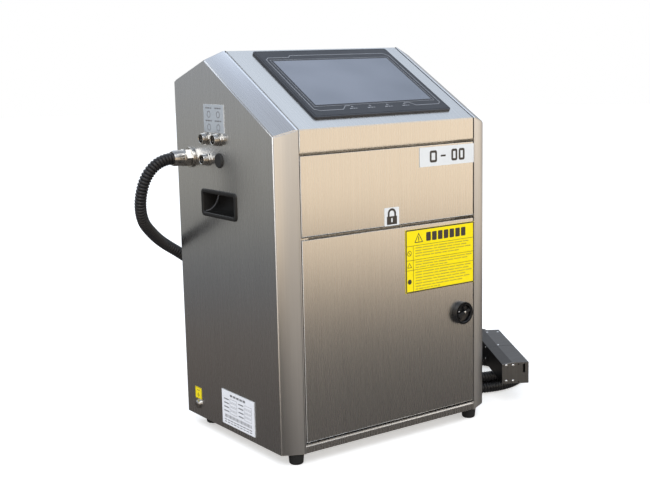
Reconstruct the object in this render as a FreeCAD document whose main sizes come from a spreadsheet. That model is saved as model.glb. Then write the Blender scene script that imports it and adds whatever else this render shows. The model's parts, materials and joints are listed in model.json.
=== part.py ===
"""Continuous inkjet date coder: stainless cabinet, umbilical hose and print head.

Row frame: X runs to the right across the front, Y to the back, Z up, in millimetres.
The origin lies on the supporting surface, under the middle of the cabinet.
"""
import FreeCAD, Part
import math
import os

import Sketcher

Vector = FreeCAD.Vector
Rotation = FreeCAD.Rotation
Placement = FreeCAD.Placement

doc = FreeCAD.newDocument("date_coder")

# Driving dimensions: each has one value, in millimetres or degrees.
DIMENSIONS = {
    # cabinet envelope
    "width": 360.0,
    "depth": 268.0,
    "foot_height": 16.0,
    "crease_height": 445.0,
    "slope_length": 201.6,
    "slope_angle": 29.9,
    "back_height": 505.0,
    "band_run": 27.0,
    "band_fall": 13.5,
    "wall": 1.5,
    "seam": 0.2,
    # front opening and its covers
    "opening_width": 300.0,
    "edge_gap": 1.4,
    "rebate": 22.0,
    "lid_flange": 14.0,
    "lid_bottom": 416.0,
    "cover_top": 412.0,
    "cover_bottom": 307.0,
    "door_top": 303.0,
    "door_bottom": 31.0,
    "tray_depth": 18.0,
    "fold_radius": 1.2,
    "rail_top": 28.0,
    "rail_width": 20.0,
    "rail_rise": 24.0,
    # hinge pivots
    "pivot_inset": 5.5,
    "pivot_setback": 3.5,
    "pin_radius": 1.7,
    "pin_clearance": 0.05,
    "pin_length": 7.0,
    "tab_thickness": 2.0,
    "tab_gap": 0.4,
    # display
    "display_width": 234.0,
    "display_height": 172.0,
    "display_offset": 6.0,
    "display_start": 21.5,
    "display_thickness": 3.0,
    "display_corner": 4.0,
    "display_rim": 3.0,
    "glass_thickness": 1.6,
    "glass_clearance": 0.2,
    "panel_margin": 10.0,
    "controller_width": 200.0,
    "controller_height": 132.0,
    "controller_depth": 30.0,
    # door latch
    "latch_across": 124.8,
    "latch_height": 167.3,
    "latch_radius": 16.4,
    "latch_proud": 8.0,
    "latch_recess": 12.6,
    "latch_barrel": 10.8,
    "latch_shaft": 5.0,
    "knob_clearance": 0.4,
    "cam_length": 40.0,
    "cam_width": 14.0,
    "cam_thickness": 3.0,
    "cam_gap": 0.8,
    "wing_width": 4.6,
    "wing_length": 24.0,
    "dial_thickness": 2.0,
    "latch_seat": 2.0,
    "latch_body": 20.0,
    # door seal
    "seal_width": 5.0,
    "seal_thickness": 2.9,
    # label plates
    "plate_thickness": 0.8,
    "name_width": 100.0,
    "name_height": 27.0,
    "name_across": 99.0,
    "name_level": 395.8,
    "notice_width": 127.0,
    "notice_height": 89.0,
    "notice_across": 86.0,
    "notice_level": 253.2,
    "legend_width": 54.0,
    "legend_height": 38.0,
    "legend_back": 24.6,
    "legend_level": 455.4,
    "rating_width": 86.0,
    "rating_height": 50.0,
    "rating_back": -12.0,
    "rating_level": 49.2,
    # recessed handles
    "handle_width": 94.0,
    "handle_height": 38.5,
    "handle_corner": 6.0,
    "handle_back": 19.8,
    "handle_level": 338.0,
    "handle_lip": 4.0,
    "handle_proud": 1.8,
    "handle_depth": 27.0,
    "handle_wall": 2.4,
    # signal sockets and blanking plug
    "socket_near": 14.5,
    "socket_far": 46.8,
    "socket_high": 427.3,
    "socket_low": 398.7,
    "socket_radius": 7.6,
    "socket_proud": 10.0,
    "socket_bore": 5.6,
    "socket_nut": 9.0,
    "socket_nut_height": 2.2,
    "socket_tail": 14.0,
    "socket_hole": 6.3,
    "plug_radius": 10.6,
    "plug_proud": 2.6,
    "plug_stem": 7.8,
    "hole_clearance": 0.3,
    # hose gland
    "gland_back": 94.5,
    "gland_level": 398.7,
    "gland_washer": 13.0,
    "gland_washer_height": 2.0,
    "gland_hex": 13.2,
    "gland_hex_height": 10.0,
    "gland_sleeve": 11.0,
    "gland_sleeve_height": 18.0,
    "gland_thread": 9.6,
    "gland_tail": 16.0,
    "sleeve_play": 0.2,
    "sleeve_taper": 3.0,
    # earth screw
    "earth_back": 101.2,
    "earth_level": 34.0,
    "earth_radius": 4.0,
    "earth_proud": 3.4,
    # feet
    "foot_inset": 25.0,
    "foot_front_inset": 17.0,
    "foot_rear_inset": 29.0,
    "foot_top_radius": 11.0,
    "foot_bottom_radius": 9.6,
    "foot_edge": 1.6,
    "screw_radius": 3.0,
    # rear panel fittings
    "fan_size": 80.0,
    "fan_thickness": 25.0,
    "fan_bore": 38.0,
    "fan_across": 70.0,
    "fan_level": 405.0,
    "fan_hub": 15.0,
    "fan_tip_gap": 1.6,
    "blade_thickness": 1.8,
    "blade_height": 15.0,
    "guard_wire": 1.3,
    "inlet_width": 50.0,
    "inlet_height": 32.0,
    "inlet_depth": 24.0,
    "inlet_flange": 3.0,
    "inlet_across": -110.0,
    "inlet_level": 80.0,
    "rocker_width": 11.0,
    "rocker_height": 19.0,
    "rocker_depth": 6.0,
    "rocker_gap": 0.6,
    "vent_length": 90.0,
    "vent_height": 4.0,
    "vent_pitch": 12.0,
    "vent_count": 7.0,
    "mount_thickness": 3.0,
    "spoke_width": 3.0,
    "spoke_depth": 2.0,
    "axle_radius": 2.0,
    "axle_length": 18.0,
    "rotor_setback": 4.0,
    "guard_bar": 84.8,
    "case_margin": 9.0,
    "recess_width": 16.0,
    "recess_height": 19.0,
    "recess_depth": 17.0,
    "rocker_well": 11.0,
    # inside
    "shelf_height": 296.0,
    "tray_length": 210.0,
    "tray_width": 110.0,
    "tray_rim": 16.0,
    "tray_wall": 2.0,
    "bottle_radius": 40.0,
    "bottle_height": 150.0,
    "bottle_neck": 14.0,
    "bottle_wall": 2.0,
    "cap_radius": 17.0,
    "cap_height": 20.0,
    "bottle_spacing": 96.0,
    "bottle_across": -44.0,
    "bottle_setback": 94.0,
    "bottle_shoulder": 14.0,
    "cap_grip": 12.0,
    "pump_radius": 21.0,
    "pump_length": 90.0,
    "pump_motor_length": 54.0,
    "pump_neck_radius": 16.0,
    "pump_neck_length": 9.0,
    "pump_head_radius": 24.0,
    "filter_radius": 20.0,
    "filter_height": 70.0,
    "filter_bowl": 52.0,
    "filter_neck": 10.0,
    "filter_shoulder": 8.0,
    "manifold_length": 110.0,
    "manifold_height": 34.0,
    "manifold_depth": 26.0,
    "valve_radius": 8.0,
    "valve_height": 26.0,
    "board_length": 118.0,
    "board_height": 120.0,
    "board_thickness": 1.6,
    "standoff": 8.0,
    "standoff_radius": 3.0,
    "manifold_drop": 70.0,
    "supply_length": 160.0,
    "supply_depth": 90.0,
    "supply_height": 40.0,
    # print head
    "head_width": 41.0,
    "head_height": 33.0,
    "head_length": 205.0,
    "head_bevel_run": 15.5,
    "head_bevel_fall": 2.6,
    "head_cover_length": 100.0,
    "head_wall": 1.4,
    "head_x": 348.5,
    "head_y": 47.9,
    "head_lift": 37.0,
    "head_heading": -121.3,
    "slot_width": 3.0,
    "slot_height": 14.0,
    "slot_across": 13.3,
    "slot_level": 23.5,
    "deck_width": 34.0,
    "deck_thickness": 3.0,
    "deck_overlap": 12.0,
    "nozzle_width": 7.4,
    "nozzle_height": 16.0,
    "nozzle_length": 26.0,
    "nozzle_start": 6.0,
    "barrel_radius": 2.5,
    "barrel_length": 8.0,
    "jet_level": 17.5,
    "guide_start": 50.0,
    "guide_length": 28.0,
    "guide_width": 8.0,
    "guide_side": 9.0,
    "guide_thickness": 1.2,
    "guide_gap": 3.7,
    "guide_rise": 8.1,
    "gutter_start": 82.0,
    "gutter_width": 5.0,
    "gutter_length": 6.0,
    "relief_length": 34.0,
    "relief_radius": 12.0,
    "relief_collar": 12.0,
    # umbilical hose
    "hose_diameter": 17.0,
    "coil_x": 290.0,
    "coil_y": 42.0,
    "coil_radius": 86.5,
    "coil_band": 34.0,
    "coil_height": 31.7,
}

sheet = doc.addObject("Spreadsheet::Sheet", "Dims")
for row, (alias, value) in enumerate(DIMENSIONS.items(), start=1):
    sheet.set("A%d" % row, alias)
    sheet.set("B%d" % row, str(value))
    sheet.setAlias("B%d" % row, alias)
doc.recompute()


class Size:
    """A length that knows both its number and the sheet expression that gives it."""

    def __init__(self, number, text):
        self.number = number
        self.text = text

    def _with(self, other, sign, number):
        return Size(number, "(%s %s %s)" % (self.text, sign, size(other).text))

    def __add__(self, other):
        return self._with(other, "+", self.number + size(other).number)

    def __sub__(self, other):
        return self._with(other, "-", self.number - size(other).number)

    def __mul__(self, other):
        return self._with(other, "*", self.number * size(other).number)

    def __truediv__(self, other):
        return self._with(other, "/", self.number / size(other).number)

    def __radd__(self, other):
        return size(other) + self

    def __rsub__(self, other):
        return size(other) - self

    def __rmul__(self, other):
        return size(other) * self

    def __neg__(self):
        return Size(-self.number, "(0 - %s)" % self.text)

    def __float__(self):
        return float(self.number)


def size(value):
    """Turn a plain number into a Size; leave a Size as it is."""
    return value if isinstance(value, Size) else Size(float(value), repr(float(value)))


def cosine(angle):
    return Size(math.cos(math.radians(float(angle))), "cos(%s * 1 deg)" % angle.text)


def sine(angle):
    return Size(math.sin(math.radians(float(angle))), "sin(%s * 1 deg)" % angle.text)


class Dims:
    """The sheet's aliases as Size values."""


d = Dims()
for alias in DIMENSIONS:
    setattr(d, alias, Size(float(sheet.get(alias)), "Dims." + alias))

# Places worked out from the driving dimensions.
HALF_WIDTH = d.width / 2
FRONT = -(d.depth / 2)
BACK = d.depth / 2
BASE = d.foot_height
SLOPE_COS = cosine(d.slope_angle)
SLOPE_SIN = sine(d.slope_angle)
RIDGE_Y = FRONT + d.slope_length * SLOPE_COS
RIDGE_Z = d.crease_height + d.slope_length * SLOPE_SIN
OPENING = d.opening_width / 2
LEAF = OPENING - d.edge_gap
PIVOT_Y = FRONT + d.pivot_setback
REACH = 900.0

NODES = []


def node(obj, name):
    """Name a finished sub-part and list it for export."""
    obj.Label = name
    NODES.append(obj)
    return obj


def bind(obj, prop, value):
    """Tie a property to the sheet."""
    obj.setExpression(prop, size(value).text)


def axes(x_axis, y_axis, z_axis):
    """Rotation that takes the local axes to the three given directions."""
    columns = [Vector(*x_axis), Vector(*y_axis), Vector(*z_axis)]
    matrix = FreeCAD.Matrix()
    matrix.A11, matrix.A21, matrix.A31 = columns[0]
    matrix.A12, matrix.A22, matrix.A32 = columns[1]
    matrix.A13, matrix.A23, matrix.A33 = columns[2]
    return Placement(matrix).Rotation


# A face-mounted piece is drawn flat, with local Z pointing out of its face.
UPRIGHT = Rotation()
ON_LEFT = axes((0, -1, 0), (0, 0, 1), (-1, 0, 0))
ON_RIGHT = axes((0, 1, 0), (0, 0, 1), (1, 0, 0))
ON_FRONT = axes((1, 0, 0), (0, 0, 1), (0, -1, 0))
ON_BACK = axes((-1, 0, 0), (0, 0, 1), (0, 1, 0))
ON_SLOPE = Rotation(Vector(1, 0, 0), float(d.slope_angle))
HEAD_TURN = Rotation(Vector(0, 0, 1), float(d.head_heading))
ALONG = HEAD_TURN.multiply(axes((0, 1, 0), (0, 0, 1), (1, 0, 0)))


def place(obj, at, rotation=UPRIGHT):
    """Put an object at a point whose coordinates are tied to the sheet."""
    obj.Placement = Placement(Vector(*[float(value) for value in at]), rotation)
    for axis, value in zip("xyz", at):
        bind(obj, "Placement.Base." + axis, value)
    return obj


def on_slope(across, along, out=0.0):
    """Point on the sloping face: across, up the slope from the crease, and out of it."""
    y = FRONT + size(along) * SLOPE_COS - size(out) * SLOPE_SIN
    z = d.crease_height + size(along) * SLOPE_SIN + size(out) * SLOPE_COS
    return size(across), y, z


def on_head(along, across, up):
    """Point in the print head's own frame: forward of its rear, to its left, above its base."""
    heading_cos, heading_sin = cosine(d.head_heading), sine(d.head_heading)
    x = d.head_x + size(along) * heading_cos - size(across) * heading_sin
    y = d.head_y + size(along) * heading_sin + size(across) * heading_cos
    return x, y, d.head_lift + up


# ---------------------------------------------------------------- Part primitives


def block(name, length, width, height, at, rotation=UPRIGHT):
    """Box whose three sizes and place are tied to the sheet."""
    obj = doc.addObject("Part::Box", name)
    bind(obj, "Length", length)
    bind(obj, "Width", width)
    bind(obj, "Height", height)
    return place(obj, at, rotation)


def centred_block(name, across, deep, tall, centre, rotation=UPRIGHT):
    """Box given by its sizes and its centre."""
    offset = rotation.multVec(Vector(float(across), float(deep), float(tall)))
    obj = block(name, across, deep, tall, centre, rotation)
    for axis, value, shift in zip("xyz", centre, offset):
        bind(obj, "Placement.Base." + axis, size(value) - shift / 2)
    return obj


def rod(name, radius, height, at, rotation=UPRIGHT):
    """Cylinder along local Z."""
    obj = doc.addObject("Part::Cylinder", name)
    bind(obj, "Radius", radius)
    bind(obj, "Height", height)
    return place(obj, at, rotation)


def fused(name, pieces):
    """One solid out of several."""
    obj = doc.addObject("Part::MultiFuse", name)
    obj.Shapes = pieces
    obj.Refine = True
    return obj


def cut(name, base, tools):
    """Base with the tools' volume removed."""
    obj = doc.addObject("Part::Cut", name)
    obj.Base = base
    obj.Tool = tools[0] if len(tools) == 1 else fused(name + "_tools", tools)
    return obj


def group(name, pieces):
    """Separate solids that share one node."""
    obj = doc.addObject("Part::Compound", name)
    obj.Links = pieces
    return obj


# ---------------------------------------------------------------- PartDesign bodies


def origin_plane(body, role):
    """The body's own origin plane with the given role."""
    return next(f for f in body.Origin.OriginFeatures if f.Role == role)


def new_sketch(body, name, role="XY_Plane", lift=0.0):
    """Empty sketch on one of the body's origin planes, lifted along its normal."""
    sketch = body.newObject("Sketcher::SketchObject", name)
    sketch.AttachmentSupport = [(origin_plane(body, role), "")]
    sketch.MapMode = "FlatFace"
    bind(sketch, "AttachmentOffset.Base.z", lift)
    return sketch


def outline(sketch, corners):
    """Closed loop of straight edges whose corners are tied to the sheet."""
    first = sketch.GeometryCount
    points = [Vector(float(u), float(v), 0) for u, v in corners]
    for start, end in zip(points, points[1:] + points[:1]):
        sketch.addGeometry(Part.LineSegment(start, end))
    for index in range(len(corners)):
        following = first + (index + 1) % len(corners)
        sketch.addConstraint(Sketcher.Constraint("Coincident", first + index, 2, following, 1))
    for index, corner in enumerate(corners):
        for kind, value in zip(("DistanceX", "DistanceY"), corner):
            rule = Sketcher.Constraint(kind, -1, 1, first + index, 1, float(value))
            number = sketch.addConstraint(rule)
            bind(sketch, "Constraints[%d]" % number, value)


def rectangle(sketch, width, height, centre=(0.0, 0.0)):
    """Rectangle about a centre."""
    u, v = size(centre[0]), size(centre[1])
    half_u, half_v = size(width) / 2, size(height) / 2
    left, right, low, high = u - half_u, u + half_u, v - half_v, v + half_v
    outline(sketch, [(left, low), (right, low), (right, high), (left, high)])


def circle(sketch, radius, centre=(0.0, 0.0)):
    """Circle whose centre and radius are tied to the sheet."""
    middle = Vector(float(size(centre[0])), float(size(centre[1])), 0)
    index = sketch.addGeometry(Part.Circle(middle, Vector(0, 0, 1), float(radius)))
    for kind, value in zip(("DistanceX", "DistanceY"), centre):
        rule = Sketcher.Constraint(kind, -1, 1, index, 3, float(value))
        bind(sketch, "Constraints[%d]" % sketch.addConstraint(rule), value)
    rule = Sketcher.Constraint("Radius", index, float(radius))
    bind(sketch, "Constraints[%d]" % sketch.addConstraint(rule), radius)


def new_body(name):
    return doc.addObject("PartDesign::Body", name)


def pad(body, sketch, length):
    """Raise a sketch along its plane's normal."""
    feature = body.newObject("PartDesign::Pad", sketch.Name + "_pad")
    feature.Profile = sketch
    bind(feature, "Length", length)
    sketch.Visibility = False
    return feature


def pocket(body, sketch, depth, upward=False):
    """Sink a sketch into the body, below its plane or, when upward, above it."""
    feature = body.newObject("PartDesign::Pocket", sketch.Name + "_pocket")
    feature.Profile = sketch
    feature.Reversed = upward
    bind(feature, "Length", depth)
    doc.recompute()
    if not feature.Shape.Volume < feature.BaseFeature.Shape.Volume:
        raise ValueError("%s removes nothing" % feature.Name)
    return feature


def soften(body, base, radius, wanted):
    """Round the edges of a feature that pass a test."""
    doc.recompute()
    names = ["Edge%d" % n for n, edge in enumerate(base.Shape.Edges, start=1) if wanted(edge)]
    feature = body.newObject("PartDesign::Fillet", base.Name + "_fillet")
    feature.Base = (base, names)
    bind(feature, "Radius", radius)
    doc.recompute()
    return feature


def upright_edge(edge):
    """True for a straight edge along local Z."""
    first, last = edge.Vertexes[0].Point, edge.Vertexes[-1].Point
    return len(edge.Vertexes) == 2 and abs(first.x - last.x) + abs(first.y - last.y) < 1e-6


def slab(name, width, height, thickness, at, rotation=UPRIGHT, corner=None):
    """Flat rectangular plate with rounded corners, drawn about its middle."""
    body = new_body(name)
    sketch = new_sketch(body, name + "_outline")
    rectangle(sketch, width, height)
    raised = pad(body, sketch, thickness)
    if corner is not None:
        soften(body, raised, corner, upright_edge)
    return place(body, at, rotation)


def sink(body, name, width, height, depth, lift, corner_at=(0.0, 0.0), upward=False):
    """Rectangular pocket in a body, measured from a level above its base."""
    sketch = new_sketch(body, name, lift=lift)
    rectangle(sketch, width, height, corner_at)
    return pocket(body, sketch, depth, upward)


def drill(body, name, radius, depth, lift, centre=(0.0, 0.0), upward=False):
    """Round pocket in a body."""
    sketch = new_sketch(body, name, lift=lift)
    circle(sketch, radius, centre)
    return pocket(body, sketch, depth, upward)


def turned(name, profile, at, rotation=UPRIGHT):
    """Body of revolution about local Z from (radius, height) corners."""
    body = new_body(name)
    sketch = new_sketch(body, name + "_profile", "XZ_Plane")
    outline(sketch, profile)
    feature = body.newObject("PartDesign::Revolution", name + "_turn")
    feature.Profile = sketch
    feature.ReferenceAxis = (sketch, ["V_Axis"])
    feature.Angle = 360.0
    return place(body, at, rotation)


def hexagon(name, corner_radius, height, at, rotation=UPRIGHT):
    """Six-sided prism about local Z."""
    obj = doc.addObject("Part::Prism", name)
    obj.Polygon = 6
    bind(obj, "Circumradius", corner_radius)
    bind(obj, "Height", height)
    return place(obj, at, rotation)


# ---------------------------------------------------------------- folded casing

SLOPE_NORMAL = Vector(0, -float(SLOPE_SIN), float(SLOPE_COS))
SLOPE_RISE = Vector(0, float(SLOPE_COS), float(SLOPE_SIN))
RIDGE = Vector(0, float(RIDGE_Y), float(RIDGE_Z))


def casing_planes():
    """Outside faces of the cabinet as name: (point, outward normal)."""
    half, front, back = float(HALF_WIDTH), float(FRONT), float(BACK)
    run, fall = float(d.band_run), float(d.band_fall)
    crease = Vector(0, front, float(d.crease_height))
    roof = Vector(0, back, float(d.back_height)) - RIDGE
    planes = {
        "front": (crease, Vector(0, -1, 0)),
        "back": (Vector(0, back, 0), Vector(0, 1, 0)),
        "bottom": (Vector(0, 0, float(BASE)), Vector(0, 0, -1)),
        "slope": (crease, SLOPE_NORMAL),
        "roof": (RIDGE, Vector(0, -roof.z, roof.y)),
    }
    for side, sign in (("left", -1), ("right", 1)):
        inner = Vector(sign * (half - run), 0, 0)
        rear = Vector(sign * half, back, float(d.back_height))
        apex = RIDGE + Vector(sign * half, 0, 0) - SLOPE_NORMAL * fall
        facet = (apex - rear).cross(RIDGE + inner - rear) * sign
        planes["side_" + side] = (Vector(sign * half, 0, 0), Vector(sign, 0, 0))
        planes["band_" + side] = (crease + inner, Vector(sign * fall, -run, 0))
        planes["brow_" + side] = (crease + inner, Vector(sign * fall, 0, 0) + SLOPE_NORMAL * run)
        planes["facet_" + side] = (rear, facet if facet.z > 0 else -facet)
    return planes


def casing_solid(insets):
    """Cabinet's outer form; faces named in insets move in, and None leaves a face out."""
    shape = Part.makeBox(REACH, REACH, REACH, Vector(-REACH / 2, -REACH / 2, -REACH / 4))
    for name, (point, normal) in casing_planes().items():
        family = name.split("_")[0]
        inset = insets.get(family, 0.0)
        if inset is None:
            continue
        outward = Vector(normal).normalize()
        away = Part.makeBox(2 * REACH, 2 * REACH, 2 * REACH, Vector(-REACH, -REACH, 0))
        turn = Rotation(Vector(0, 0, 1), outward)
        away.Placement = Placement(point - outward * float(inset), turn).multiply(away.Placement)
        shape = shape.cut(away)
    return shape


def span(low, high):
    """Box between two corners."""
    corner, size_xyz = Vector(*low), Vector(*high) - Vector(*low)
    return Part.makeBox(size_xyz.x, size_xyz.y, size_xyz.z, corner)


def slope_span(across, along, out):
    """Box in the sloping face's own directions, each given as a (low, high) pair."""
    low = [float(pair[0]) for pair in (across, along, out)]
    high = [float(pair[1]) for pair in (across, along, out)]
    shape = span(low, high)
    crease = Vector(0, float(FRONT), float(d.crease_height))
    shape.Placement = Placement(crease, ON_SLOPE).multiply(shape.Placement)
    return shape


def bore(radius, centre, direction, length):
    """Cylinder used to cut a hole, centred on a point."""
    way = Vector(*direction)
    start = Vector(*[float(value) for value in centre]) - way * (length / 2)
    return Part.makeCylinder(float(radius), length, start, way)


def shaped(name, shape):
    """Document object for a folded sheet piece."""
    obj = doc.addObject("Part::Feature", name)
    obj.Shape = shape
    obj.Placement = Placement()
    return obj


SHEET_FACES = ("front", "slope", "side", "band", "brow", "facet")
WALL = float(d.wall)
OPEN_ENDS = {"back": None, "bottom": None, "roof": None}


def side_panel(name, sign):
    """Side sheet with its bevelled front and brow bands and the folded opening flange."""
    outer = casing_solid({})
    hollow = casing_solid({**OPEN_ENDS, **{face: WALL for face in SHEET_FACES}})
    opening, half = float(OPENING), float(HALF_WIDTH) + 1
    keep = span((opening, -REACH, -REACH), (half, REACH, REACH))
    flange_box = span((opening, -REACH, float(BASE + d.wall)), (opening + WALL, REACH, REACH))
    core = casing_solid({**OPEN_ENDS, "side": None, "band": None, "brow": None, "facet": None,
                         "front": d.rebate, "slope": d.rebate})
    under_roof = casing_solid({"roof": WALL + float(d.seam)})
    flange = outer.cut(core).common(flange_box).common(under_roof)
    panel = outer.cut(hollow).common(keep).fuse(flange)
    panel = panel.removeSplitter()
    pivot = float(d.pin_radius + d.pin_clearance)
    for _, y, z in (lid_pivot(), cover_pivot()):
        panel = panel.cut(bore(pivot, (opening, y, z), (1, 0, 0), 4 * WALL))
    window = span(
        (opening + 2 * WALL, float(d.handle_back - d.handle_width / 2 + d.handle_lip),
         float(d.handle_level - d.handle_height / 2 + d.handle_lip)),
        (half, float(d.handle_back + d.handle_width / 2 - d.handle_lip),
         float(d.handle_level + d.handle_height / 2 - d.handle_lip)))
    panel = panel.cut(window)
    if sign < 0:
        panel = panel.mirror(Vector(), Vector(1, 0, 0))
        for radius, y, z in left_side_holes():
            panel = panel.cut(bore(radius, (-float(HALF_WIDTH), y, z), (1, 0, 0), 4 * WALL))
    return node(shaped(name, panel), name)


def lid_pivot():
    """Axis of the lid's pivots."""
    return on_slope(0.0, d.slope_length - d.pivot_inset, -d.pivot_setback)


def cover_pivot():
    """Axis of the middle cover's pivots."""
    return size(0.0), PIVOT_Y, d.cover_top - d.pivot_inset


def socket_places():
    """Back and level of each signal socket."""
    return ((d.socket_far, d.socket_high), (d.socket_near, d.socket_high),
            (d.socket_far, d.socket_low))


def left_side_holes():
    """Radius, back and level of each round hole in the left side."""
    clear = d.hole_clearance
    holes = [(d.socket_hole + clear, y, z) for y, z in socket_places()]
    holes.append((d.plug_stem + clear, d.socket_near, d.socket_low))
    holes.append((d.gland_thread + clear, d.gland_back, d.gland_level))
    holes.append((d.earth_radius + clear, d.earth_back, d.earth_level))
    return holes


def roof_panel():
    """Rear roof sheet with a stiffening lip behind the lid."""
    seam = float(d.seam)
    within = {"side": WALL + seam, "facet": WALL + seam, "brow": WALL + seam, "back": 0.0}
    sheet_top = casing_solid(within).cut(casing_solid({**within, "roof": WALL, "back": None,
                                                       "bottom": None, "slope": None,
                                                       "front": None}))
    start = float(d.slope_length + d.edge_gap)
    ahead = slope_span((-REACH, REACH), (-REACH, start), (-REACH, REACH))
    sheet_top = sheet_top.cut(ahead)
    lip = slope_span((-float(OPENING), float(OPENING)), (start, start + WALL),
                     (-float(d.rebate), 0.0))
    lip = lip.common(casing_solid(within))
    return node(shaped("roof_panel", sheet_top.fuse(lip).removeSplitter()), "roof_panel")


def rear_panel():
    """Rear sheet with the fan hole, the inlet opening and rows of vent slots."""
    clear = WALL + float(d.seam)
    inside = casing_solid({"side": clear, "facet": clear, "roof": clear, "bottom": clear})
    behind = span((-REACH, float(BACK) - WALL, 0), (REACH, REACH, REACH))
    panel = inside.common(behind)
    back = float(BACK)
    panel = panel.cut(bore(d.fan_bore, (d.fan_across, back, d.fan_level), (0, 1, 0), 4 * WALL))
    half_w, half_h = float(d.inlet_width / 2 - 4), float(d.inlet_height / 2 - 4)
    x, z = float(d.inlet_across), float(d.inlet_level)
    panel = panel.cut(span((x - half_w, back - 2 * WALL, z - half_h),
                           (x + half_w, back + WALL, z + half_h)))
    for bank in (-1, 1):
        middle = bank * float(d.vent_length) * 0.75
        for row in range(int(float(d.vent_count))):
            low = float(d.crease_height) / 2 + row * float(d.vent_pitch)
            panel = panel.cut(span(
                (middle - float(d.vent_length / 2), back - 2 * WALL, low),
                (middle + float(d.vent_length / 2), back + WALL, low + float(d.vent_height))))
    return node(shaped("rear_panel", panel), "rear_panel")


def base_pan():
    """Bottom sheet, inside the side sheets, with the foot screw holes."""
    clear = WALL + float(d.seam)
    inside = casing_solid({"side": clear, "band": clear, "front": clear})
    floor = span((-REACH, -REACH, float(BASE)), (REACH, REACH, float(BASE) + WALL))
    pan = inside.common(floor)
    for x, y in foot_places():
        pan = pan.cut(bore(d.screw_radius + d.hole_clearance, (x, y, BASE), (0, 0, 1), 4 * WALL))
    return node(shaped("base_pan", pan), "base_pan")


def foot_places():
    """Middle of each foot."""
    rows = (FRONT + d.foot_front_inset, BACK - d.foot_rear_inset)
    return [(side * (HALF_WIDTH - d.foot_inset), y) for side in (-1, 1) for y in rows]


def cross_rails():
    """Rails behind the lid, cover and door gaps, with the door's upper pivot tab."""
    y = FRONT + d.rebate
    pieces = []
    gaps = ((d.lid_bottom + d.cover_top) / 2, (d.cover_bottom + d.door_top) / 2)
    for index, level in enumerate(gaps):
        pieces.append(block("rail_%d" % index, d.opening_width + 2 * d.wall, d.rail_width,
                            d.rail_rise, (-OPENING - d.wall, y, level - d.rail_rise / 2)))
    tab_level = d.door_top + d.tab_gap
    tab = block("pivot_tab", 4 * d.pin_radius + d.pivot_inset, d.rebate - d.wall,
                d.tab_thickness, (-OPENING, FRONT + d.wall, tab_level))
    hole = rod("pivot_tab_hole", d.pin_radius + d.pin_clearance, 2 * d.tab_thickness,
               (-LEAF + d.pivot_inset, PIVOT_Y, tab_level - d.tab_thickness / 2))
    pieces[1] = fused("mid_rail", [pieces[1], cut("drilled_tab", tab, [hole])])
    node(group("cross_rails", pieces), "cross_rails")


def lower_rail():
    """Folded rail under the door, with the door's lower pivot hole."""
    low = BASE + d.wall
    face = block("rail_face", d.opening_width, d.wall, d.rail_top - low, (-OPENING, FRONT, low))
    shelf = block("rail_shelf", d.opening_width, d.rebate, d.wall,
                  (-OPENING, FRONT, d.rail_top - d.wall))
    hole = rod("rail_hole", d.pin_radius + d.pin_clearance, 4 * d.wall,
               (-LEAF + d.pivot_inset, PIVOT_Y, d.rail_top - 3 * d.wall))
    node(cut("lower_rail", fused("rail_fold", [face, shelf]), [hole]), "lower_rail")


# ---------------------------------------------------------------- lid and display


def display_lid():
    """Sloping lid with a folded front lip and stiffening flanges."""
    leaf, bottom = float(LEAF), float(d.lid_bottom)
    everything = casing_solid({})
    skin = everything.cut(casing_solid({**OPEN_ENDS, "side": None, "band": None, "brow": None,
                                        "facet": None, "front": WALL, "slope": WALL}))
    deep = everything.cut(casing_solid({**OPEN_ENDS, "side": None, "band": None, "brow": None,
                                        "facet": None, "front": d.lid_flange,
                                        "slope": d.lid_flange}))
    inside = span((-leaf, -REACH, bottom), (leaf, REACH, REACH))
    ahead = slope_span((-REACH, REACH), (-REACH, d.slope_length), (-REACH, REACH))
    lid = skin.common(inside)
    for side in (-1, 1):
        low, high = sorted((side * leaf, side * (leaf - WALL)))
        lid = lid.fuse(deep.common(span((low, -REACH, bottom), (high, REACH, REACH))))
    lid = lid.fuse(span((-leaf, float(FRONT), bottom),
                        (leaf, float(FRONT + d.lid_flange), bottom + WALL)))
    top_edge = slope_span((-leaf, leaf), (d.slope_length - d.wall, d.slope_length),
                          (-d.lid_flange, 0.0))
    lid = lid.fuse(top_edge).common(ahead).removeSplitter()
    margin = d.panel_margin
    first = float(d.display_start + margin)
    last = float(d.display_start + d.display_height - margin)
    left = float(d.display_offset - d.display_width / 2 + margin)
    right = float(d.display_offset + d.display_width / 2 - margin)
    lid = lid.cut(slope_span((left, right), (first, last), (-3 * WALL, WALL)))
    _, y, z = lid_pivot()
    lid = lid.cut(bore(d.pin_radius, (0, y, z), (1, 0, 0), 2 * leaf + 2))
    node(shaped("display_lid", lid), "display_lid")


def display():
    """Bezel, glass and the controller box under them."""
    middle = d.display_start + d.display_height / 2
    bezel = slab("display_bezel", d.display_width, d.display_height, d.display_thickness,
                 on_slope(d.display_offset, middle), ON_SLOPE, d.display_corner)
    rim = 2 * d.display_rim
    sink(bezel, "glass_seat", d.display_width - rim, d.display_height - rim,
         d.glass_thickness, d.display_thickness)
    node(bezel, "display_bezel")
    play = rim + 2 * d.glass_clearance
    level = d.display_thickness - d.glass_thickness
    glass = slab("display_glass", d.display_width - play, d.display_height - play,
                 d.glass_thickness, on_slope(d.display_offset, middle, level), ON_SLOPE)
    node(glass, "display_glass")
    box = slab("display_controller", d.controller_width, d.controller_height,
               d.controller_depth, on_slope(d.display_offset, middle, -d.controller_depth),
               ON_SLOPE, d.display_corner)
    node(box, "display_controller")


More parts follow.
